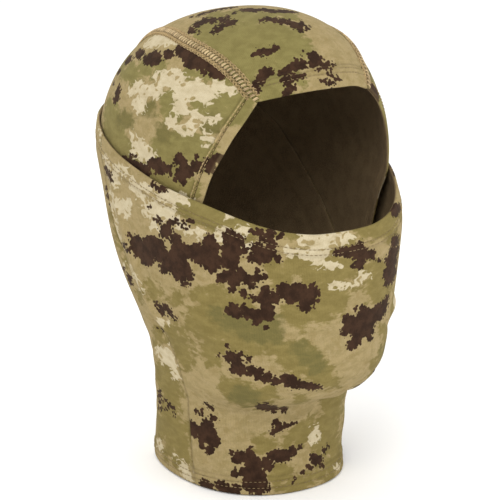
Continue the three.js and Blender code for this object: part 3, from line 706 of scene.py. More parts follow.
# ------------------------------------------------ folds and drape of the worn cloth
# polyline of x, y, z on the form; height in mm (+ out); half width in mm
FOLDS = [
    ("-75 33 181  -74 28 168  -74 21 154  -73 14 141  -72 7 128  -69 0 111  -66 -9 103", 2.0, 4.2),
    ("-75 44 178  -75 38 160  -74 30 140  -72 22 122  -68 14 106", -1.9, 4.4),
    ("-69 0 111  -66 -9 103  -62 -16 94", 1.9, 3.4),
    ("-65 6 101  -63 2 96  -61 -3 92  -60 -8 88", -2.1, 2.4),
    ("-64 -44 109  -60 -52 105  -56 -58 103", 0.9, 6.0),
    ("14 -84 69  12 -78 64  11 -64 54  3 -56 45  -8 -54 38", 1.7, 5.0),
    ("22 -82 66  20 -66 55  14 -58 44  4 -56 32", -1.2, 4.5),
    ("-6 -81 65  2 -81 66  8 -82 68", -1.0, 1.8),
    ("-35 -82 103  -31 -85 103", -0.8, 5.0),
    ("30 -70 62  34 -52 50  36 -46 36", 1.2, 5.0),
    ("-40 -62 60  -44 -42 50  -46 -34 38", 0.9, 6.0),
    ("-55 6 84  -52 12 66  -51 16 50  -50 18 34", 1.2, 6.0),
    ("-56 20 86  -52 26 68  -48 30 52", -1.0, 5.0),
    ("44 -77 105  56 -62 108  62 -50 110  66 -36 113", 2.2, 3.6),
    ("44 -75 97  54 -62 99  60 -50 101  64 -36 103", -1.7, 3.6),
    # the left side and the back, where the cloth hangs the same way
    ("75 33 181  74 28 168  74 21 154  73 14 141  72 7 128  69 0 111  65 -10 100", 1.2, 5.0),
    ("75 44 178  75 38 160  74 30 140  72 22 122  68 14 106", -1.1, 5.0),
    ("66 4 104  62 -6 92  58 -14 82", 1.3, 4.0),
    ("60 16 92  54 20 70  52 20 50", 1.2, 6.0),
    ("20 74 98  34 62 84  44 40 70", 1.5, 5.0),
    ("-22 78 104  -38 62 90  -48 42 78", 1.5, 5.0),
    ("0 66 84  12 56 70  26 48 58", -1.4, 4.5),
    ("-6 60 76  -18 54 64  -32 44 54", -1.2, 4.5),
    ("-10 92 132  8 94 128  26 88 124", 1.0, 7.0),
    ("-40 84 150  -14 98 156  16 100 152", 0.8, 8.0),
]


def fold_lift(points):
    flat = points.reshape(-1, 3)
    total = np.zeros(len(flat))
    for text, height, width in FOLDS:
        line = numbers(text, 3)
        run = run_along(line)
        best = np.full(len(flat), 1e9)
        place = np.zeros(len(flat))
        for i in range(len(line) - 1):
            start, step = line[i], line[i + 1] - line[i]
            share = np.clip(((flat - start) @ step) / (step @ step), 0, 1)
            gap = np.linalg.norm(flat - start - share[:, None] * step, axis=1)
            place = np.where(gap < best, run[i] + share * (run[i + 1] - run[i]), place)
            best = np.minimum(best, gap)
        ends = np.minimum(place, run[-1] - place)
        fade = smooth(0.35 + ends / (0.35 * run[-1] + 1e-6) * 0.65)
        total += height * fade * bell(best, width)
    return total.reshape(points.shape[:-1])


def ripple(points):
    """Slack of the cloth, more below the jaw than over the face."""
    x, y, z = points[..., 0], points[..., 1], points[..., 2]
    angle = np.arctan2(x, -y)
    slack = smooth((118 - z) / 50) * (0.25 + 0.75 * smooth((z - 4) / 20))
    upright = (np.sin(5 * angle + 0.05 * z + 0.8) * 0.45
               + np.sin(9 * angle - 0.09 * z + 2.1) * 0.3)
    level = (np.sin(0.21 * z + 2.2 * np.sin(angle * 1.5) + 0.7) * 0.3
             + np.sin(0.37 * z + 3 * np.cos(angle) + 1.9) * 0.14)
    broad = (np.sin(3 * angle + 0.03 * z + 2.0) * 0.25
             + np.sin(0.08 * z + 2 * angle) * 0.2)
    return slack * (upright + level) + broad * (1 - 0.6 * slack)


def grooved(lift, distance, rows):
    for row in rows:
        lift = lift - GROOVE * bell(distance - row, GROOVE_WIDTH)
    return lift


# painted shade in the groove of each row of stitches
def row_painted_shade(distance, rows):
    return 0.25 * sum(bell(distance - row, 0.4) for row in rows)


# ------------------------------------------------ neck and face tube
def tube_surface(angle, z):
    points = form(angle, z)
    out = normal_at(points)
    flat = smooth((z - 3) / 10)
    out = unit(np.stack([out[..., 0], out[..., 1], out[..., 2] * flat], -1))
    depth = top_of(angle) - z
    lift = mix(0.4, 1.5, smooth((z - 50) / 35))
    lift = lift + 0.55 * smooth((MASK_HEM - depth) / 0.9) + 0.55 * smooth((NECK_HEM - z) / 0.9)
    lift = grooved(grooved(lift, depth, MASK_ROWS), z, NECK_ROWS)
    ease = smooth(depth / 14) * smooth((z + 2) / 12)
    pucker = (np.sin(angle * 61 + 1.3 * np.sin(7 * angle)) * 0.10 * bell(depth - 8.5, 3.5)
              * (depth < 30)
              + np.sin(angle * 47 + 1.1 * np.sin(5 * angle)) * 0.10 * bell(z - 6.0, 3.0))
    lift = (lift + fold_lift(points) * (0.25 + 0.75 * ease)
            + ripple(points) * (0.15 + 0.85 * ease) + pucker)
    return points + out * lift[..., None], out


def tube_angle(z, front, share):
    edge = 0.55 if front else -0.55
    seam = angle_of_y(seam_y(z) - edge, z)
    return mix(-seam, seam, share) if front else mix(seam, 2 * math.pi - seam, share)


def spaced(total, fine, fine_run, coarse):
    """Positions over a length, finely spaced at both ends."""
    near = np.arange(0, fine_run, fine)
    count = max(2, int((total - 2 * fine_run) / coarse)) + 1
    middle = np.linspace(fine_run, total - fine_run, count)
    return np.r_[near, middle, total - near[::-1]]


def tube_panel(front):
    tall, end, foot = 180.0, 13.0, 1.05       # nominal height, unstretched ends, lowest row
    fine, coarse, across = ((0.5, 1.35, 1.3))
    heights = spaced(tall, fine, end, coarse)
    shares = spaced(270.0, 0.6, 3.0, across) / 270.0
    share = np.broadcast_to(shares, (len(heights), len(shares)))
    height = heights[:, None]
    angle = tube_angle(np.full(share.shape, 90.0), front, share)
    for _ in range(12):
        top = top_of(angle)
        z = np.where(height < end, foot + height * ((end - foot) / end),
                     np.where(height > tall - end, top - (tall - height),
                              end + (height - end) / (tall - 2 * end) * (top - 2 * end)))
        angle = tube_angle(z, front, share)
    points, out = tube_surface(angle, z)
    depth = top_of(angle) - z
    thick = CLOTH + 0.8 * smooth((MASK_HEM - depth) / 1.2) + 0.8 * smooth((NECK_HEM - z) / 1.2)
    along = run_along(points, 1)
    edge_gap = np.minimum(along, along[:, -1:] - along)
    # painted shade along the side edges of the panel, beside the hem steps and in the stitch rows
    crease = (0.28 * bell(edge_gap, 0.6) + 0.22 * bell(depth - MASK_HEM - 0.3, 0.7)
              + 0.22 * bell(z - NECK_HEM - 0.3, 0.7)
              + row_painted_shade(depth, MASK_ROWS) + row_painted_shade(z, NECK_ROWS))
    return points, grid_normals(points, out), thick, crease


# ------------------------------------------------ hood
def tuck(points):
    """How far the hood draws in below the top of the tube."""
    return HOOD_TUCK * smooth((top_z(points) + 1.5 - points[..., 2]) / TUCK_RUN)


def hood_surface(guide, lift=0.0):
    points = to_hood(guide)
    out = normal_at(points, True)
    x, y, z = points[..., 0], points[..., 1], points[..., 2]
    soft = 0.22 * np.sin(0.10 * x + 0.06 * y + 0.5) * np.sin(0.07 * z + 0.05 * y + 1.0)
    lift = np.asarray(lift) - HOOD_IN - tuck(points) + soft
    return points + out * lift[..., None], out


def both_sides(points):
    return {side: curve([CORNER[side]] + [[side * x, y, z] for x, y, z in points])
            for side in (RIGHT, LEFT)}


crown_edges, face_edges = both_sides(CROWN), both_sides(FACE_SIDE)
CROWN_LEN = crown_edges[LEFT][1]
brow = curve([CORNER[RIGHT]] + BROW + [CORNER[LEFT]])[0]
SEAM_HALF = 0.62


def path_frame(path, share):
    """Points of a path on the hood, the direction to the left of travel, and the normal."""
    here = to_hood(path(share))
    near = to_hood(path(np.where(share < 0.5, share + 0.01, share - 0.01)))
    along = unit(np.where((share < 0.5)[..., None], near - here, here - near))
    out = normal_at(here, True)
    return here, np.cross(out, along), out


def shifted(path, distance):
    """The path moved over the hood to the left of travel."""
    def moved(share):
        here, sideways, _ = path_frame(path, np.asarray(share, float))
        return here + sideways * distance
    return moved


def coons(top, bottom, left, right):
    """Surface between four edge curves."""
    def patch(down, over):
        zero = np.zeros(1)
        edges = top(over), bottom(over), left(down), right(down)
        corners = top(zero), top(zero + 1), bottom(zero), bottom(zero + 1)
        down, over = down[..., None], over[..., None]
        return ((1 - down) * edges[0] + down * edges[1] + (1 - over) * edges[2] + over * edges[3]
                - ((1 - down) * (1 - over) * corners[0] + (1 - down) * over * corners[1]
                   + down * (1 - over) * corners[2] + down * over * corners[3]))
    return patch


def fold_y(z):
    return FOLD_Y - (FOLD_Z - z)


def crown_panel():
    """Crown strip from the brow hem back to the nape fold."""
    right, left = [shifted(crown_edges[side][0], side * SEAM_HALF) for side in (RIGHT, LEFT)]

    def front(share):
        start, end = right(np.zeros_like(share)), left(np.zeros_like(share))
        edge = brow(share)
        return np.stack([mix(start[..., 0], end[..., 0], share), edge[..., 1], edge[..., 2]], -1)

    def back(share):
        start, end = right(np.ones_like(share)), left(np.ones_like(share))
        x = mix(start[..., 0], end[..., 0], share)
        y = start[..., 1] + 4.0 * (1 - (x / start[..., 0]) ** 2)
        return np.stack([x, y, start[..., 2]], -1)

    row_step = 1.3
    rows = np.r_[np.arange(0, 14, 0.5), np.arange(14, CROWN_LEN, row_step)[:-1], CROWN_LEN]
    down, over = np.meshgrid(rows / CROWN_LEN, np.linspace(0, 1, 78), indexing="ij")
    guide = coons(front, back, right, left)(down, over)
    depth = run_along(hood_surface(guide)[0])
    lift = grooved(BROW_LIFT * smooth((BROW_HEM - depth) / 0.9), depth, BROW_ROWS)
    points, out = hood_surface(guide, lift - 0.35 * bell(depth - 12.9, 0.8))

    # one more row, past the fold and down inside the tube
    last = points[-1]
    z = last[:, 2] - row_step
    wide = section(z)[0]
    sine = np.clip(signed_power(last[:, 0] / wide, POWER / 2), -1, 1)
    nape = form(math.pi - np.arcsin(sine), z)
    nape = nape + normal_at(nape) * (-HOOD_IN - tuck(nape))[..., None]
    tail = mix(last + (last - points[-3]) / 2, nape, smooth(row_step / 6.0))
    points = np.concatenate([points, tail[None]], 0)
    out = np.concatenate([out, out[-1:]], 0)
    depth = np.concatenate([depth, np.full((1, depth.shape[1]), 99.0)], 0)
    thick = CLOTH + 0.7 * smooth((BROW_HEM - depth) / 1.2)
    # painted shade behind the brow hem step and in its stitch rows
    crease = 0.3 * bell(depth - 12.7, 0.7) + row_painted_shade(depth, BROW_ROWS)
    return points, grid_normals(points, out), thick, crease


def side_panel(side):
    """Hood side, from the crown seam down inside the tube, with the hem of the face opening."""
    seam = shifted(crown_edges[side][0], -side * SEAM_HALF)
    face = face_edges[side][0]
    zero = np.zeros(1)

    def front(share):
        return face(share) + (seam(zero) - face(zero)) * (1 - share)[..., None]

    def back(share):
        top = seam(zero + 1)
        z = mix(top[..., 2], HOOD_LOW, share)
        y = mix(top[..., 1], fold_y(HOOD_LOW) - 0.6, share) - 3 * smooth(share)
        x = mix(top[..., 0], side * 70.0, smooth((top[..., 2] - z) / 56))
        return np.stack([x, y, z], -1)

    def low(share):
        start, end = front(zero + 1), back(zero + 1)
        return np.stack([mix(start[..., 0], end[..., 0], share),
                         mix(start[..., 1], end[..., 1], share),
                         np.full_like(share, HOOD_LOW)], -1)

    length = CROWN_LEN * 0.86
    shares = np.r_[np.arange(0, 9.5, 0.5), np.arange(9.5, length, 1.3)] / length
    shares = np.r_[shares[shares < 0.995], 1.0]
    down, over = np.meshgrid(np.linspace(0, 1, 118), shares, indexing="ij")
    guide = coons(seam, low, front, back)(down, over)
    depth = run_along(hood_surface(guide)[0], 1)
    groove, ridge = SIDE_ROWS
    # rolled band, stitched groove and the ridge of the turned allowance
    lift = (0.85 * smooth((5.4 - depth) / 0.7) - 0.5 * bell(depth - groove, 0.5)
            + 0.6 * bell(depth - ridge, 0.65) - 0.25 * bell(depth - 8.5, 0.6))
    points, out = hood_surface(guide, lift)
    # painted shade in the stitched groove and behind the ridge; painted highlight on the ridge and
    # along the rolled edge
    crease = (0.95 * bell(depth - groove, 0.5) + 0.4 * bell(depth - 8.5, 0.5)
              - 0.7 * bell(depth - 7.15, 0.6) - 0.2 * bell(depth - 0.2, 0.8))
    thick = CLOTH + 0.6 * smooth((5.6 - depth) / 1.0)
    return points, grid_normals(points, out), thick, crease


def nape_panel():
    """Fixed part of the hood, sewn to the neck inside the tube."""
    high = FOLD_Z + 7.0
    down, over = np.meshgrid(np.linspace(0, 1, 80), np.linspace(0, 1, 90), indexing="ij")
    z = mix(NAPE_LOW, high, down)
    # runs on beneath the side panels
    lap = 17.0 * smooth((z - 74) / 44) * smooth((high + 12 - z) / 24)
    edge = np.maximum(fold_y(z) + 1.2, mix(36, 14, smooth((z - NAPE_LOW) / 44))) - lap
    _, deep, centre = section(z)
    start = angle_of_y(np.minimum(centre + deep * 0.97, edge), z)
    angle = mix(start, 2 * math.pi - start, over)
    z = z + 10.0 * smooth((110 - z) / 38) * np.abs(2 * over - 1) ** 5      # rounded low corners
    points = form(angle, z)
    out = normal_at(points)
    low = 0.6 * smooth((100 - z) / 14)
    under = 1.5 * smooth((z - 186) / 8)          # below the tail of the crown strip
    wave = 0.3 * np.sin(0.11 * z + 2 * angle)
    beneath = (mix(0.7, 1.9, smooth((z - 178) / 20))
               * smooth((fold_y(z) + 6 - points[..., 1]) / 5))
    lift = -HOOD_IN - tuck(points) - low - under - beneath + wave
    points = points + out * lift[..., None]
    return points, grid_normals(points, out), np.full(z.shape, CLOTH), np.zeros(z.shape)


# ------------------------------------------------ finishes
def lin(red, green, blue, strength=1.0):
    """Linear colour from display values out of 255, darkened to a strength."""
    def linear(level):
        return level / 12.92 if level <= 0.04045 else ((level + 0.055) / 1.055) ** 2.4
    return tuple(strength * linear(level / 255) for level in (red, green, blue)) + (1.0,)


class Graph:
    """A material under construction."""

    def __init__(self, name):
        self.material = bpy.data.materials.new(name)
        self.material.use_nodes = True
        self.tree = self.material.node_tree
        self.tree.nodes.clear()

    def node(self, kind, **props):
        node = self.tree.nodes.new(kind)
        for key, value in props.items():
            setattr(node, key, value)
        return node

    def put(self, socket, value):
        if isinstance(value, bpy.types.NodeSocket):
            self.tree.links.new(value, socket)
        elif value is not None:
            socket.default_value = value

    def fill(self, node, values):
        """Puts values into inputs by name or index, and returns the node."""
        for key, value in values.items():
            self.put(node.inputs[key], value)
        return node

    def attr(self, name, vector=False):
        node = self.node("ShaderNodeAttribute", attribute_type="GEOMETRY", attribute_name=name)
        return node.outputs["Vector" if vector else "Fac"]

    def op(self, kind, first, second=None, clamp=False):
        node = self.node("ShaderNodeMath", operation=kind, use_clamp=clamp)
        return self.fill(node, {0: first, 1: second}).outputs[0]

    def noise(self, vector, scale, detail=2.0, rough=0.5, distort=0.0):
        return self.fill(self.node("ShaderNodeTexNoise"), {
            "Vector": vector, "Scale": scale, "Detail": detail, "Roughness": rough,
            "Distortion": distort}).outputs[0]

    def cells(self, vector, scale):
        node = self.node("ShaderNodeTexVoronoi")
        return self.fill(node, {"Vector": vector, "Scale": scale}).outputs["Distance"]

    def remap(self, value, over, to=(0.0, 1.0), kind="SMOOTHSTEP"):
        node = self.node("ShaderNodeMapRange", interpolation_type=kind, clamp=True)
        return self.fill(node, dict(enumerate((value, *over, *to)))).outputs[0]

    def mix(self, share, first, second, kind="MIX"):
        node = self.node("ShaderNodeMix", data_type="RGBA", blend_type=kind)
        return self.fill(node, {0: share, 6: first, 7: second}).outputs[2]

    def scaled(self, vector, scale):
        node = self.node("ShaderNodeVectorMath", operation="MULTIPLY")
        return self.fill(node, {0: vector, 1: scale}).outputs[0]

    def split(self, vector):
        return self.fill(self.node("ShaderNodeSeparateXYZ"), {0: vector}).outputs

    def bump(self, height, strength, distance, normal=None):
        return self.fill(self.node("ShaderNodeBump"), {
            "Height": height, "Strength": strength, "Distance": distance,
            "Normal": normal}).outputs[0]

    def close(self, colour, rough, specular, normal=None, sheen=0.0, tint=None):
        shader = self.node("ShaderNodeBsdfPrincipled")
        output = self.node("ShaderNodeOutputMaterial")
        self.fill(shader, {
            "Base Color": colour, "Roughness": rough, "Specular IOR Level": specular,
            "Sheen Weight": sheen, "Sheen Roughness": 0.45, "Sheen Tint": tint,
            "Normal": normal})
        self.tree.links.new(shader.outputs[0], output.inputs[0])
        return self.material


def knit_height(mat, knit, wale, course):
    """Jersey: columns of small V stitches, by the pitch of columns and rows in mm."""
    across, along, _ = mat.split(knit)
    zig = mat.op("ABSOLUTE", mat.op("SINE", mat.op("MULTIPLY", across, math.pi / wale)))
    row = mat.op("ADD", mat.op("MULTIPLY", along, 2 * math.pi / course),
                 mat.op("MULTIPLY", zig, 2.6))
    return mat.op("ADD", mat.op("MULTIPLY", zig, 0.6), mat.op("MULTIPLY", mat.op("SINE", row), 0.22))


DYE = 0.69       # strength of most print colours


def camo_finish(name, gathers=False):
    mat = Graph(name)
    rest, knit = mat.attr("rest", True), mat.attr("knit", True)
    mid = mat.noise(rest, scale=0.17, detail=3.0, rough=0.6)
    small = mat.noise(rest, scale=0.5, rough=0.55)
    fine = mat.noise(rest, scale=1.3, detail=3.0, rough=0.65)
    lobe = mat.cells(rest, scale=0.50)
    grain = mat.noise(rest, scale=3.2, rough=0.6)
    smear = mat.noise(mat.scaled(rest, (0.55, 0.55, 1.15)), scale=0.24, detail=4.0, rough=0.62,
                      distort=0.3)
    spike = mat.noise(rest, scale=0.30, detail=3.0, rough=0.6, distort=0.4)
    veins = mat.noise(mat.scaled(rest, (0.8, 0.8, 1.25)), scale=0.185, detail=1.0, distort=0.3)
    ridge = mat.op("ABSOLUTE", mat.op("SUBTRACT", veins, 0.5))

    def edge(attribute, *terms):
        """Distance to a patch edge, frayed by terms of texture, its middle value and size."""
        value = mat.attr(attribute)
        for texture, middle, size in terms:
            fray = mat.op("MULTIPLY", mat.op("SUBTRACT", texture, middle), size)
            value = mat.op("ADD", value, fray)
        return value

    def dyes(texture, over, first, second):
        return mat.mix(mat.remap(texture, over), lin(*first, DYE), lin(*second, DYE))

    dark = mat.remap(edge("dark", (lobe, 0.50, 2.7), (small, 0.5, 0.75)), over=(0.48, 0.16))
    pale = mat.remap(edge("pale", (ridge, 0.085, 15.0), (spike, 0.5, 5.0), (fine, 0.5, 1.4)),
                     over=(0.70, -0.20))
    pale = mat.op("MULTIPLY", pale, mat.remap(smear, over=(0.26, 0.42), to=(0.72, 1.0)))
    green = mat.remap(edge("green", (mid, 0.5, 9.0), (smear, 0.5, 12.0), (ridge, 0.085, 10.0),
                           (fine, 0.5, 1.5)), over=(3.2, 0.2))
    deep = mat.remap(edge("deep", (mid, 0.5, 9.0), (smear, 0.5, 6.0)), over=(3.4, -0.6))

    tan = dyes(smear, (0.32, 0.68), (164, 146, 100), (180, 160, 114))
    tan = mat.mix(mat.remap(mid, over=(0.5, 0.72), to=(0.0, 0.55)), tan, lin(154, 134, 84, DYE))
    tan = mat.mix(mat.remap(spike, over=(0.52, 0.66), to=(0.0, 0.5)), tan,
                  lin(186, 166, 124, DYE))
    height = mat.remap(mat.split(rest)[2], over=(150.0, 225.0))
    olive = dyes(smear, (0.3, 0.7), (134, 119, 68), (150, 134, 80))
    olive = mat.mix(height, olive, dyes(smear, (0.3, 0.7), (132, 122, 72), (147, 137, 83)))
    forest = dyes(smear, (0.3, 0.7), (118, 109, 64), (130, 119, 70))
    cream = dyes(smear, (0.3, 0.7), (206, 190, 154), (222, 208, 174))
    brown = mat.mix(mat.remap(mid, over=(0.35, 0.65)), lin(56, 37, 25, 0.62),
                    lin(74, 51, 36, 0.66))
    colour = mat.mix(green, tan, olive)
    colour = mat.mix(deep, colour, forest)
    colour = mat.mix(pale, colour, cream)
    colour = mat.mix(dark, colour, brown)

    # yarn grain as the yarn's own tone, and painted shade of the columns of stitches
    stitches = knit_height(mat, knit, wale=0.95, course=0.75)
    yarn_tone_and_stitch_shade = mat.op("ADD", mat.remap(grain, over=(0.25, 0.75), to=(0.87, 1.11), kind="LINEAR"),
                   mat.op("MULTIPLY", mat.op("SUBTRACT", stitches, 0.4), 0.19))
    yarn_tone_and_stitch_shade = mat.op("MULTIPLY", yarn_tone_and_stitch_shade,
                   mat.remap(fine, over=(0.25, 0.75), to=(0.955, 1.045), kind="LINEAR"))
    grey = mat.fill(mat.node("ShaderNodeCombineColor"), {0: yarn_tone_and_stitch_shade, 1: yarn_tone_and_stitch_shade, 2: yarn_tone_and_stitch_shade})
    colour = mat.mix(1.0, colour, grey.outputs[0], kind="MULTIPLY")

    # painted shade where the attribute is positive (creases, grooves, hem steps), painted highlight
    # where it is negative (ridges)
    crease = mat.attr("crease")
    colour = mat.mix(mat.op("MULTIPLY", crease, 0.9, clamp=True), colour,
                     mat.mix(0.75, colour, lin(40, 28, 18, 0.6)))
    colour = mat.mix(mat.op("MULTIPLY", crease, -0.8, clamp=True), colour,
                     mat.mix(0.6, colour, lin(206, 184, 132, DYE)))
    soft = mat.bump(small, strength=0.25, distance=0.0005)
    if gathers:
        # where the tube has been pushed down on itself the slack stands up in rings
        z = mat.split(rest)[2]
        now = mat.split(mat.node("ShaderNodeNewGeometry").outputs["Position"])[2]
        drop = mat.op("SUBTRACT", z, mat.op("MULTIPLY", now, 1000.0))
        pull = mat.remap(drop, over=(4.0, 40.0))
        zone = mat.op("MULTIPLY", mat.remap(z, over=(8.0, 40.0)),
                      mat.remap(z, over=(160.0, 118.0)))
        drift = mat.noise(mat.scaled(rest, (1.0, 1.0, 0.5)), scale=0.035)
        wander = mat.op("ADD", mat.op("MULTIPLY", z, 0.52), mat.op("MULTIPLY", drift, 9.0))
        ring = mat.op("MULTIPLY", mat.op("ADD", mat.op("SINE", wander), 1.0),
                      mat.op("MULTIPLY", pull, zone))
        soft = mat.bump(ring, strength=0.9, distance=0.0016, normal=soft)
    normal = mat.bump(stitches, strength=0.35, distance=0.0002, normal=soft)
    return mat.close(colour, rough=0.88, specular=0.12, normal=normal, sheen=0.035,
                     tint=lin(235, 215, 170))


def lining_finish():
    mat = Graph("brushed_lining")
    rest, knit = mat.attr("rest", True), mat.attr("knit", True)
    nap = mat.noise(rest, scale=1.6, detail=4.0, rough=0.7, distort=0.6)
    soft = mat.noise(rest, scale=0.12)
    colour = mat.mix(mat.remap(nap, over=(0.3, 0.7)), lin(96, 80, 58), lin(124, 105, 77))
    colour = mat.mix(mat.remap(soft, over=(0.35, 0.65), to=(0.0, 0.35)), colour,
                     lin(136, 116, 86))
    stitches = mat.op("MULTIPLY", knit_height(mat, knit, wale=1.1, course=0.9), 0.3)
    height = mat.op("ADD", mat.op("MULTIPLY", nap, 1.0), stitches)
    return mat.close(colour, rough=0.95, specular=0.15, sheen=0.25, tint=lin(150, 130, 105),
                     normal=mat.bump(height, strength=0.5, distance=0.0003))


def thread_finish(name, dark, light):
    mat = Graph(name)
    rest = mat.attr("rest", True)
    twist = mat.noise(rest, scale=2.4, rough=0.6)
    mixed = mat.op("ADD", mat.op("MULTIPLY", mat.attr("tone"), 0.7),
                   mat.op("MULTIPLY", twist, 0.4), clamp=True)
    colour = mat.mix(mixed, lin(*dark), lin(*light))
    ply = mat.node("ShaderNodeTexWave", wave_type="BANDS", bands_direction="DIAGONAL")
    mat.fill(ply, {"Vector": rest, "Scale": 1.3})
    return mat.close(colour, rough=0.62, specular=0.35, sheen=0.05,
                     normal=mat.bump(ply.outputs["Fac"], strength=0.35, distance=0.00012))


CAMO = camo_finish("camo_knit")
CAMO_TUBE = camo_finish("camo_knit_tube", gathers=True)
LINING = lining_finish()
THREAD = thread_finish("sewing_thread", dark=(94, 77, 48), light=(138, 117, 78))
THREAD_NET = thread_finish("net_thread", dark=(132, 108, 68), light=(190, 164, 116))
THREAD_SEAM = thread_finish("seam_thread", dark=(112, 88, 54), light=(208, 184, 140))

# ------------------------------------------------ cloth pieces
pieces = {}


def register(ob, slot, *nodes):
    if nodes:
        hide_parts(*nodes)
    pieces[ob.name] = ob


def add_panel(name, data, panel, nodes, material=CAMO):
    lay_print(panel, data[0].reshape(-1, 3), data[1].reshape(-1, 3))
    register(cloth(name, *data, panel, (material, LINING)), "camo_knit", *nodes)


add_panel("tube_front_cloth", tube_panel(True), "front",
          ["mask_front_panel", "neck_front_panel"], CAMO_TUBE)
add_panel("tube_back_cloth", tube_panel(False), "back",
          ["mask_back_panel", "neck_back_panel"], CAMO_TUBE)
add_panel("hood_crown_cloth", crown_panel(), "crown", ["hood_crown_panel"])
for label, side in reversed(SIDES):
    add_panel(f"hood_side_cloth_{label}", side_panel(side), f"side_{label}",
              [f"hood_side_panel_{label}"])
add_panel("nape_cloth", nape_panel(), "nape", ["nape_panel"])

# ------------------------------------------------ stitch rows
SINK, RISE = 0.28, 0.12       # ends of a stitch below the line, its middle above it


def stitch_row(centre, normal, pitch=2.7, length=2.0, radius=0.22):
    """Stitches along a line of points in order; returns paths, radii, hints."""
    run = run_along(centre)
    start = np.arange(int((run[-1] - length) / pitch)) * pitch + 0.3
    share = np.linspace(0, 1, 6)
    place = start[:, None] + share[None] * length
    paths, out = [np.stack([np.interp(place, run, line[:, k]) for k in range(3)], -1)
                  for line in (centre, normal)]
    out = unit(out)
    bow = np.sin(math.pi * share)
    paths = paths + out * (-SINK + (SINK + RISE) * bow ** 0.6)[None, :, None]
    radii = radius * (0.55 + 0.45 * bow ** 0.5)
    return paths, np.broadcast_to(radii, paths.shape[:2]), out


def add_threads(name, rows, material, *nodes):
    paths, radii, hints = [np.concatenate(parts) for parts in zip(*rows)]
    register(tubes(name, paths, radii, hints, material), "thread", *nodes)


def tube_row(depth, from_top):
    angle = np.linspace(0, 2 * math.pi, 900)
    z = top_of(angle) - depth if from_top else np.full(angle.shape, depth)
    return tube_surface(angle, z)


def brow_row(distance):
    edge = to_hood(brow(np.linspace(0.03, 0.97, 160)))
    upward = unit(np.cross(normal_at(edge, True), np.array([1.0, 0, 0])))
    return hood_surface(edge + upward * distance, BROW_LIFT - GROOVE)


def face_row(side, distance, lift):
    path = shifted(face_edges[side][0], side * distance)     # towards the back
    return hood_surface(path(np.linspace(0.03, 0.97, 300)), lift)


for label, depths, from_top in (("mask", MASK_ROWS, True), ("neck", NECK_ROWS, False)):
    add_threads(f"{label}_hem_threads",
                [stitch_row(*tube_row(depth, from_top)) for depth in depths],
                THREAD, f"{label}_hem_stitching")
add_threads("brow_hem_threads", [stitch_row(*brow_row(depth)) for depth in BROW_ROWS],
            THREAD, "brow_hem_stitching")
for label, side in SIDES:
    rows = [stitch_row(*face_row(side, depth, lift), pitch=2.5, length=1.9, radius=radius)
            for depth, lift, radius in zip(SIDE_ROWS, (-0.2, 0.6), (0.2, 0.24))]
    add_threads(f"side_hem_threads_{label}", rows, THREAD_NET, f"side_hem_stitching_{label}")

# ------------------------------------------------ flatlock crown seams
BAND_HALF, PITCH = 3.7, 2.6      # half width of the band, pitch of the crossing threads
CORE = 1.4                       # half width of the puffed middle of the seam


def band_height(x, run):
    """Height of the band: a puffed middle cut by the crossing threads, and flat wings."""
    across = np.sqrt(np.clip(1 - (x / BAND_HALF) ** 2, 0, 1))
    waist = 0.25 + 0.75 * np.abs(np.cos(math.pi * (run / PITCH + 0.10 * x))) ** 0.7
    return 0.45 * across ** 0.6 + 0.85 * (np.sqrt(np.clip(1 - (x / CORE) ** 2, 0, 1)) * waist)


def band_painted_shading(x, run):
    """Painted shade where the threads pull the cloth in, beside the puffed middle and along the
    band's edges.
    """
    pull = np.abs(np.sin(math.pi * (run / PITCH + 0.10 * x))) ** 3
    inner = bell(np.abs(x) - CORE - 0.15, 0.45)
    return np.clip(np.where(np.abs(x) < CORE, 0.35 + 0.65 * pull, 0.45) + 0.8 * inner
                   + 0.5 * bell(np.abs(x) - BAND_HALF, 0.5), 0, 1)


def on_seam(side, x, run, share, lift):
    """Points beside a crown seam, which sways a little from side to side."""
    centre, sideways, _ = path_frame(crown_edges[side][0], share)
    sway = 0.22 * np.sin(run / 9.0)
    return hood_surface(centre + sideways * (x + sway)[..., None], lift)


def seam_band(side):
    shares = np.linspace(0.0, 0.998, int(CROWN_LEN / 0.34))
    offsets = np.r_[np.linspace(-BAND_HALF, -CORE, 7)[:-1], np.linspace(-CORE, CORE, 9),
                    np.linspace(CORE, BAND_HALF, 7)[1:]]
    share, x = np.meshgrid(shares, offsets, indexing="ij")
    run = share * CROWN_LEN
    height = band_height(x, run)
    outer, out = on_seam(side, x, run, share, height + 0.05)
    return outer, grid_normals(outer, out), 0.4 + height * 0.7, band_painted_shading(x, run)


def seam_rungs(side):
    """Rungs over the puffed middle, each two strands lying side by side."""
    k = np.linspace(-1, 1, 9)
    x = k * (CORE + 0.2)
    lift = 0.62 + 0.55 * np.sqrt(np.clip(1 - (k * 0.93) ** 2, 0, 1)) - 0.3 * np.abs(k) ** 10
    radii = 0.34 * (1 - 0.35 * np.abs(k) ** 4)
    rows = []
    for start in np.arange(1.4, CROWN_LEN - 1.4, PITCH):
        for strand in (-0.36, 0.36):
            run = start + strand + 0.35 * k
            path, out = on_seam(side, x, run, run / CROWN_LEN, lift)
            rows.append((path[None], radii[None], out[None]))
    return rows


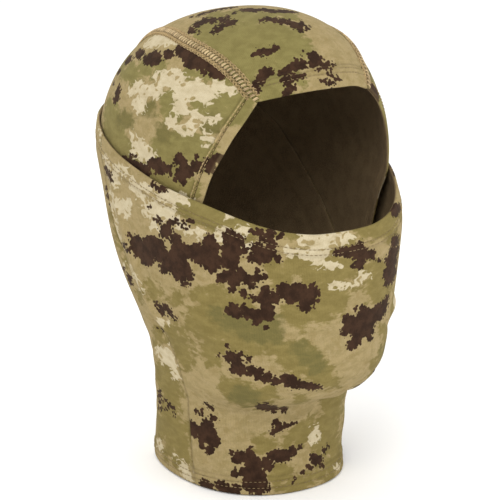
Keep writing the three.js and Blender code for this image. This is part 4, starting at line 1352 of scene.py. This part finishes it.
def seam_net(side):
    """Zigzag threads over both wings, and the chain along each edge."""
    rows = []
    k = np.linspace(0, 1, 6)
    bow = np.sin(math.pi * k)

    def add(x, run, lift, radii):
        path, out = on_seam(side, x, run, run / CROWN_LEN, lift)
        rows.append((path, np.broadcast_to(radii, path.shape[:2]), out))

    step = PITCH / 2
    turns = np.arange(int((CROWN_LEN - 3) / step))
    for wing in (-1, 1):
        for phase, near, far in ((0, CORE + 0.1, BAND_HALF), (1, CORE + 0.5, BAND_HALF - 0.2)):
            turn_run = 1.5 + (turns + 0.5 * phase) * step
            turn_x = wing * np.where(turns % 2, near, far)
            run = turn_run[:-1, None] + k * step
            x = turn_x[:-1, None] + k * (turn_x[1:, None] - turn_x[:-1, None])
            lift = band_height(x, run) * 0.6 + 0.30 + 0.10 * bow[None] + 0.08 * phase
            add(x, run, lift, 0.175 * (0.85 + 0.15 * bow))
        links = np.arange(int((CROWN_LEN - 3) / 1.9))
        run = (1.2 + links * 1.9)[:, None] + k * 1.7
        bend = 0.18 * np.sin(math.pi * k)[None] * np.where(links % 2, 1, -1)[:, None]
        x = np.full_like(run, wing * (BAND_HALF + 0.15)) + bend
        add(x, run, 0.16 + 0.16 * bow[None], 0.2 * (0.8 + 0.2 * bow))
    return rows


for label, side in SIDES:
    register(cloth(f"crown_seam_band_{label}", *seam_band(side), "crown", (CAMO, CAMO)),
             "camo_knit", f"crown_seam_{label}")
    add_threads(f"crown_seam_rungs_{label}", seam_rungs(side), THREAD_SEAM)
    add_threads(f"crown_seam_net_{label}", seam_net(side), THREAD_NET)


# ------------------------------------------------ seams inside the tube
def inside_seam(side):
    """Overlocked allowance along the inside of a side seam."""
    z, x = np.meshgrid(np.linspace(6, 196, 150), np.linspace(-2.6, 2.6, 7), indexing="ij")
    top = top_of(side * angle_of_y(seam_y(z) + x, z))
    z = 6 + (z - 6) / 190 * (top - 12)
    angle = side * angle_of_y(seam_y(z) + x, z)
    points, out = tube_surface(angle, z)
    sink = CLOTH + 0.15 + 0.5 * smooth((z - (top_of(angle) - 14)) / 3) * 0
    sink = CLOTH + 0.15 + 0.5 * smooth((z - (top - 14)) / 3) + 0.6 * smooth((14 - z) / 3)
    outer = points - out * sink[..., None]
    thick = np.full(z.shape, 0.8) + 0.25 * np.abs(np.sin(z * 1.1 + x * 0.4))
    return outer, grid_normals(outer, out), thick, None


def nape_row(z):
    angle = np.linspace(math.pi - 0.60, math.pi + 0.60, 110)
    points = form(angle, np.full(angle.shape, z))
    out = normal_at(points)
    return points - out * (HOOD_IN + HOOD_TUCK + 0.6 + CLOTH + 0.1), -out


for label, side in SIDES:
    register(cloth(f"side_seam_allowance_{label}", *inside_seam(side), None,
                   (LINING, THREAD_SEAM), lining_from=0.1),
             "thread", f"mask_side_seam_{label}", f"neck_side_seam_{label}")
add_threads("nape_seam_threads", [stitch_row(*nape_row(z), radius=0.26) for z in (75.0, 79.0)],
            THREAD_SEAM, "nape_seam")

# ------------------------------------------------ transforms baked into the meshes, the nape pieces attached to the root
for name in ("tube_front_cloth", "tube_back_cloth", "mask_hem_threads", "neck_hem_threads",
             "side_seam_allowance_left", "side_seam_allowance_right"):
    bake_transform(pieces[name])
for name in ("hood_crown_cloth", "hood_side_cloth_left", "hood_side_cloth_right",
             "brow_hem_threads", "side_hem_threads_left", "side_hem_threads_right",
             "crown_seam_band_left", "crown_seam_band_right", "crown_seam_rungs_left",
             "crown_seam_rungs_right", "crown_seam_net_left", "crown_seam_net_right"):
    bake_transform(pieces[name])
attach(pieces["nape_cloth"], "root")
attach(pieces["nape_seam_threads"], "root")

# ------------------------------------------------ studio, in metres
scene = bpy.context.scene
scene.view_settings.view_transform = "Standard"
scene.view_settings.look = "None"

bpy.ops.mesh.primitive_plane_add(size=60, location=(0, 0, -0.0006))
floor = bpy.context.object
floor.name = "floor"
floor.data.materials.append(Graph("floor_paint").close(lin(254, 254, 254), rough=0.9,
                                                       specular=0.05))

world = bpy.data.worlds.new("studio")
scene.world = world
world.use_nodes = True
background = world.node_tree.nodes["Background"]
background.inputs["Color"].default_value = (1.0, 0.995, 0.985, 1)
background.inputs["Strength"].default_value = 1.0


def soft_light(name, place, target, size, power, colour=(1, 1, 1)):
    data = bpy.data.lights.new(name, "AREA")
    data.shape = "DISK"
    data.size = size
    data.energy = power
    data.color = colour
    ob = bpy.data.objects.new(name, data)
    scene.collection.objects.link(ob)
    ob.location = place
    ob.rotation_euler = (Vector(target) - Vector(place)).to_track_quat("-Z", "Y").to_euler()


soft_light("key", place=(-1.0, -0.95, 1.25), target=(0, 0, 0.15), size=0.9, power=12.0,
           colour=(1.0, 0.98, 0.95))
soft_light("fill", place=(0.9, -1.2, 0.32), target=(0, 0, 0.12), size=1.0, power=5.5)
soft_light("top", place=(-0.1, 0.5, 1.4), target=(0, 0, 0.2), size=0.9, power=3.5)

SHIFT_RIGHT, SHIFT_UP = -0.84, -9.54      # moves the camera in its own plane, in mm
camera_data = bpy.data.cameras.new("camera")
camera = bpy.data.objects.new("camera", camera_data)
scene.collection.objects.link(camera)
camera_data.sensor_width = 36.0
camera_data.lens = 184.9
eye = (AIM + SHIFT_RIGHT * VIEW_RIGHT + SHIFT_UP * VIEW_UP - ORIGIN) + VIEW_BACK * VIEW_DISTANCE
camera.matrix_world = Matrix([(VIEW_RIGHT[i], VIEW_UP[i], VIEW_BACK[i], eye[i] * MM)
                              for i in range(3)] + [(0, 0, 0, 1)])
camera_data.clip_start, camera_data.clip_end = 0.05, 100
scene.camera = camera
